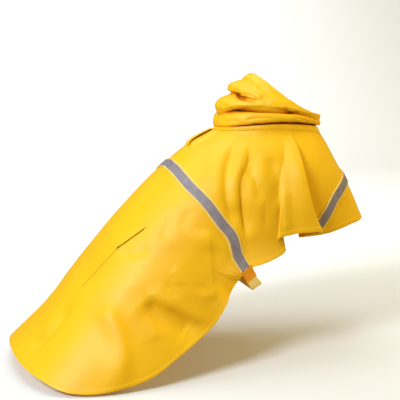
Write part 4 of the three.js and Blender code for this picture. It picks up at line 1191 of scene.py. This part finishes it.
def coated_grain():
    """Fine weave under a rubbery coat: its height, and slow shifts of tone over the cloth."""
    group, given, result = effect_group(
        "coated grain",
        {
            "Vector": ("NodeSocketVector", (0, 0, 0)),
            "Threads per metre": ("NodeSocketFloat", 900.0),
            "Grain": ("NodeSocketFloat", 1.0),
        },
        {"Height": "NodeSocketFloat", "Tone": "NodeSocketFloat"},
    )
    split = group.nodes.new("ShaderNodeSeparateXYZ")
    link(group, given["Vector"], split.inputs[0])
    waves = [sine_wave(group, split.outputs[i], given["Threads per metre"]) for i in (0, 1)]
    weave = math_node(group, "MULTIPLY", *waves)
    height = math_node(group, "MULTIPLY_ADD", weave, 0.35, noise(group, given["Vector"], 700))
    link(group, math_node(group, "MULTIPLY", height, given["Grain"]), result["Height"])
    link(group, noise(group, given["Vector"], 9, 3), result["Tone"])
    return group


def ribs():
    """Rounded ribs across one direction of the cut."""
    group, given, result = effect_group(
        "ribs",
        {"Vector": ("NodeSocketVector", (0, 0, 0)), "Ribs per metre": ("NodeSocketFloat", 300.0)},
        {"Height": "NodeSocketFloat"},
    )
    split = group.nodes.new("ShaderNodeSeparateXYZ")
    link(group, given["Vector"], split.inputs[0])
    wave = sine_wave(group, split.outputs[0], given["Ribs per metre"])
    link(group, math_node(group, "MULTIPLY_ADD", wave, 0.5, 0.5), result["Height"])
    return group


def effect(tree, group, place, **values):
    """The outputs of an effect group at a place on the cloth."""
    node = tree.nodes.new("ShaderNodeGroup")
    node.node_tree = group
    for key, value in values.items():
        node.inputs[key.replace("_", " ")].default_value = value
    link(tree, place, node.inputs["Vector"])
    return node.outputs


def cut_place(tree):
    """Place on the cut of the piece, in metres, for the weave to follow."""
    node = tree.nodes.new("ShaderNodeUVMap")
    node.uv_map = "cut"
    return node.outputs[0]


def new_material(name, roughness, sheen=0.0, coat=0.0, specular=0.5):
    material = bpy.data.materials.new(name)
    material.use_nodes = True
    shader = material.node_tree.nodes["Principled BSDF"]
    for key, value in (
        ("Roughness", roughness),
        ("Sheen Weight", sheen),
        ("Sheen Roughness", 0.4),
        ("Coat Weight", coat),
        ("Coat Roughness", 0.35),
        ("Specular IOR Level", specular),
    ):
        shader.inputs[key].default_value = value
    return material, material.node_tree, shader


def bump(tree, shader, height, distance):
    node = tree.nodes.new("ShaderNodeBump")
    node.inputs["Distance"].default_value = distance
    node.inputs["Strength"].default_value = 1.0
    link(tree, height, node.inputs["Height"])
    link(tree, node.outputs[0], shader.inputs["Normal"])


def coated_cloth(name, effects, lit, deep):
    """Coated cloth with painted shade: a deep colour in its narrow creases, for light bounced
    there.
    """
    material, tree, shader = new_material(name, 0.4, coat=0.1, specular=0.35)
    grain = effect(tree, effects["grain"], cut_place(tree), Threads_per_metre=850.0, Grain=1.0)
    # The crease attribute carries painted shade from the cloth's hollows and lines of shade.
    crease = tree.nodes.new("ShaderNodeAttribute")
    crease.attribute_name = "crease"

    def depth_from(start):
        """Share of the crease's depth past a start, from 0 to 1."""
        share = math_node(tree, "MULTIPLY_ADD", crease.outputs["Fac"], 1 / CREASE_SHADE_DEPTH, -start)
        return clamped(tree, share)

    # Random tone and painted shade mix the two colours; the deepest creases are painted black.
    tone = math_node(tree, "MULTIPLY_ADD", grain["Tone"], 0.5, -0.22)
    amount = clamped(tree, math_node(tree, "MULTIPLY_ADD", depth_from(CREASE_SHADE_FREE), 0.9, tone))
    tone_and_shade = colour_mix(tree, amount, lit, deep)
    shaded = colour_mix(tree, depth_from(SHADE_BLACK_FROM), tone_and_shade, PAINTED_SHADE_BLACK)
    link(tree, shaded, shader.inputs["Base Color"])
    rough = math_node(tree, "MULTIPLY_ADD", grain["Tone"], 0.12, 0.34)
    link(tree, rough, shader.inputs["Roughness"])
    bump(tree, shader, grain["Height"], 0.00012)
    return material


def plain_cloth(name, effects, colour, darker, roughness=0.5):
    material, tree, shader = new_material(name, roughness, sheen=0.1)
    grain = effect(tree, effects["grain"], cut_place(tree), Threads_per_metre=1100.0, Grain=1.0)
    link(tree, colour_mix(tree, grain["Tone"], colour, darker), shader.inputs["Base Color"])
    bump(tree, shader, grain["Height"], 0.00015)
    return material


def reflective_tape(effects):
    """Grey glass-bead tape with a fine cross weave and scuffed patches."""
    material, tree, shader = new_material("reflective tape", 0.45, specular=0.6)
    place = cut_place(tree)
    turned = tree.nodes.new("ShaderNodeMapping")
    turned.inputs["Rotation"].default_value = (0, 0, math.radians(38))
    link(tree, place, turned.inputs["Vector"])
    grain = effect(tree, effects["grain"], place, Threads_per_metre=500.0, Grain=1.4)
    cross = effect(tree, effects["ribs"], place, Ribs_per_metre=420.0)
    hatch = effect(tree, effects["ribs"], turned.outputs[0], Ribs_per_metre=380.0)
    scuffed = math_node(tree, "MULTIPLY_ADD", noise(tree, place, 60, 4), 1.4, -0.45)
    amount = clamped(tree, math_node(tree, "MULTIPLY_ADD", hatch["Height"], 0.38, scuffed))
    dark, light = (0.17, 0.165, 0.235, 1), (0.34, 0.34, 0.42, 1)
    link(tree, colour_mix(tree, amount, dark, light), shader.inputs["Base Color"])
    height = math_node(tree, "MULTIPLY_ADD", cross["Height"], 0.6, grain["Height"])
    bump(tree, shader, height, 0.0002)
    return material


def elastic_weave(effects):
    material, tree, shader = new_material("ribbed elastic", 0.7, sheen=0.3)
    cross = effect(tree, effects["ribs"], cut_place(tree), Ribs_per_metre=700.0)
    # Painted shade: the ribs are pale on top and a deeper yellow in the grooves between them.
    deep, light = (0.95, 0.74, 0.17, 1), (1.0, 0.93, 0.46, 1)
    link(tree, colour_mix(tree, cross["Height"], deep, light), shader.inputs["Base Color"])
    bump(tree, shader, cross["Height"], 0.0002)
    return material


def thread(name, colour):
    material, tree, shader = new_material(name, 0.55, sheen=0.2)
    place = tree.nodes.new("ShaderNodeTexCoord")
    twist = noise(tree, place.outputs["Object"], 1400)
    darker = tuple(c * 0.7 for c in colour[:3]) + (1,)
    link(tree, colour_mix(tree, twist, colour, darker), shader.inputs["Base Color"])
    return material


def make_materials():
    effects = {"grain": coated_grain(), "ribs": ribs()}
    # The second cloth colour is painted shade for the cloth's creases.
    yellow, crease_shade_orange = (0.95, 0.6, 0.014, 1), (0.72, 0.22, 0.0, 1)
    pale, less_pale = (0.98, 0.8, 0.26, 1), (0.95, 0.7, 0.16, 1)
    tab, tab_shade = (0.94, 0.42, 0.01, 1), (0.88, 0.35, 0.008, 1)
    # Dark browns of the pocket slit are painted shade.
    slit_shade_brown, slit_shade_dark_brown = (0.05, 0.018, 0.002, 1), (0.03, 0.01, 0.001, 1)
    return {
        "cloth": coated_cloth("coated cloth", effects, yellow, crease_shade_orange),
        "binding": plain_cloth("pale binding", effects, pale, less_pale),
        "tape": reflective_tape(effects),
        "elastic": elastic_weave(effects),
        "tab": plain_cloth("tab cloth", effects, tab, tab_shade),
        "slit": plain_cloth("slit in painted shade", effects, slit_shade_brown, slit_shade_dark_brown, roughness=0.9),
        "thread": thread("yellow thread", (0.86, 0.5, 0.03, 1)),
        "pale_thread": thread("pale thread", (0.85, 0.68, 0.3, 1)),
        "dark_thread": thread("seam thread", (0.18, 0.07, 0.004, 1)),
    }


def build_coat(materials):
    points, outer, normals, uv, crease, free = cape_shell()
    cape = slab("cape_shell", points, outer, True, materials["cloth"], uv, {"crease": crease})
    cut_slot(cape)
    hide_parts("cape")
    row = stitch_line(outer, normals, free, free[:, -1] < SEWN_DOWN / 2)
    stitches("cape_hem_stitches", [row], materials["thread"])

    points, outer, normals, uv, crease, free = rear_shell()
    rear = slab("rear_shell", points, outer, False, materials["cloth"], uv, {"crease": crease})
    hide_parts("rear_panel")
    row = stitch_line(outer, normals, free)
    stitches("rear_hem_stitches", [row], materials["thread"])

    points, outer, normals, uv, crease, rim = hood_shell()
    hood = slab("hood_shell", points, outer, True, materials["cloth"], uv, {"crease": crease})
    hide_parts("hood_right", "hood_left")
    row = [np.concatenate([v, v[:1]]) for v in stitch_line(outer, normals, rim)]
    stitches("hood_edge_stitches", [row], materials["thread"])

    points, outer, normals, shade = neckband_shell()
    band = slab("neckband_shell", points, outer, True, materials["cloth"], None, {"crease": shade})
    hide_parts("neckband")
    return rear


def build_trim(materials):
    back = band_on(
        coat_outside,
        lambda s: mix(-STRAP_TURN, STRAP_TURN, s),
        lambda s: seam_height(STRAP_TURN * np.abs(2 * s - 1)),
        STRIP_WIDTH,
        np.linspace(0, 1, BACK_STATIONS),
        STRIP_SHARES,
    )
    base, tape = strip_pieces("back_strip", back, materials)
    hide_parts("back_strip_base")
    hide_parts("back_strip_tape")
    start = CHEST_STRIP[0][0]

    def chest_turn(s):
        return mix(start, 2 - start - 0.04, s)

    chest = band_on(
        chest_outside,
        chest_turn,
        lambda s: chest_height(1 - np.abs(1 - chest_turn(s))),
        STRIP_WIDTH,
        np.linspace(0, 1, CHEST_STATIONS),
        STRIP_SHARES,
    )
    chest_base, chest_tape = strip_pieces("chest_strip", chest, materials)
    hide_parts("chest_strip_base")
    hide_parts("chest_strip_tape")
    frame = belly_strap(materials)
    for name, side in (("tab_right", 1), ("tab_left", -1)):
        tab = strap_tab(name, side, back, frame, materials)
        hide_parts(f"strap_{name}")
    welt = pocket(materials)
    slot_flap(materials)


def aimed(name, data, place, target):
    """A lamp or camera at a place, turned to a target."""
    thing = new_object(name, data)
    thing.location = place
    aim = Vector(target) - thing.location
    thing.rotation_euler = aim.to_track_quat("-Z", "Y").to_euler()
    return thing


def paper_sweep():
    """Pale floor that bends up into a wall behind the coat."""
    floor_z = to_frame([0, 0, 2.0])[2]
    size, wall, depth, radius, bends = 9.0, 5.0, 2.2, 1.6, 12
    profile = [(-size, 0.0), (depth, 0.0)]
    for i in range(1, bends + 1):
        a = math.pi / 2 * i / bends
        profile.append((depth + radius * math.sin(a), radius * (1 - math.cos(a))))
    profile.append((depth + radius, wall))
    points = []
    faces = []
    for i, (y, z) in enumerate(profile):
        points += [(-size, y, floor_z + z), (size, y, floor_z + z)]
        if i:
            faces.append([2 * i - 2, 2 * i - 1, 2 * i + 1, 2 * i])
    mesh = new_mesh("studio_sweep", points, faces)
    mesh.polygons.foreach_set("use_smooth", [True] * len(faces))
    paper, tree, shader = new_material("pale studio paper", 0.8)
    shader.inputs["Base Color"].default_value = (0.78, 0.88, 1.0, 1)
    mesh.materials.append(paper)
    sweep = new_object("studio_sweep", mesh)
    # The paper shows, but throws no white light back on the shaded cloth.
    sweep.visible_diffuse = False
    sweep.visible_glossy = False


def studio():
    """A pale sweep, soft lights, and the camera at the photograph's angle."""
    paper_sweep()
    world = bpy.data.worlds.new("studio")
    bpy.context.scene.world = world
    world.use_nodes = True
    # Warm light that yellow cloth throws on itself, inside a surround that looks pale.
    warm, pale = (0.32, 0.198, 0.07, 1), (0.8, 0.81, 0.8, 1)
    path = world.node_tree.nodes.new("ShaderNodeLightPath")
    surround = colour_mix(world.node_tree, path.outputs["Is Camera Ray"], warm, pale)
    link(world.node_tree, surround, world.node_tree.nodes["Background"].inputs[0])

    lamps = (
        ("key", (-2.9, -1.9, 2.2), 1.1, 130, (1, 0.99, 0.97)),
        ("fill", (3.3, -0.5, 0.9), 1.8, 84, (1, 0.9, 0.5)),
        ("top", (-0.6, 0.3, 2.6), 2.2, 28, (1, 0.99, 0.97)),
        ("backdrop", (0.0, 1.6, 2.4), 2.5, 90, (1, 1, 1)),
    )
    coat, wall = (-0.15, 0, -0.2), (-0.2, 4.0, 0.4)
    for name, place, size, power, colour in lamps:
        light = bpy.data.lights.new(name, "AREA")
        light.color = colour
        light.size = size
        light.energy = power
        lamp = aimed(name, light, place, wall if name == "backdrop" else coat)
        lamp.visible_glossy = name != "fill"

    # A narrow light on the strap's end, which the photograph shows bright.
    light = bpy.data.lights.new("strap spot", "SPOT")
    light.energy = 125
    light.color = (1, 0.92, 0.68)
    light.spot_size = math.radians(4.4)
    light.spot_blend = 1.0
    light.shadow_soft_size = 0.08
    aimed("strap spot", light, (0.35, -1.75, -0.38), (-0.088, -0.157, -0.324))

    camera_data = bpy.data.cameras.new("camera")
    camera_data.lens = CAMERA["lens"]
    camera_data.sensor_width = 36
    place, target = to_frame(CAMERA["place"]), to_frame(CAMERA["target"])
    bpy.context.scene.camera = aimed("camera", camera_data, place, target)
    bpy.context.scene.view_settings.view_transform = "Standard"


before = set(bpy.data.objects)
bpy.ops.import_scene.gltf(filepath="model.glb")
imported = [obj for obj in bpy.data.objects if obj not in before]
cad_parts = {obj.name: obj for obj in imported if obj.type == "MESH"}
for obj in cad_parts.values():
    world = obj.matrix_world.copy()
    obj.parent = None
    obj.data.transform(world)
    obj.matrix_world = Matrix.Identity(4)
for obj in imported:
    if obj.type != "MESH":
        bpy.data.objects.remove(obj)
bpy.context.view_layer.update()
materials = make_materials()
rear = build_coat(materials)
build_trim(materials)
studio()
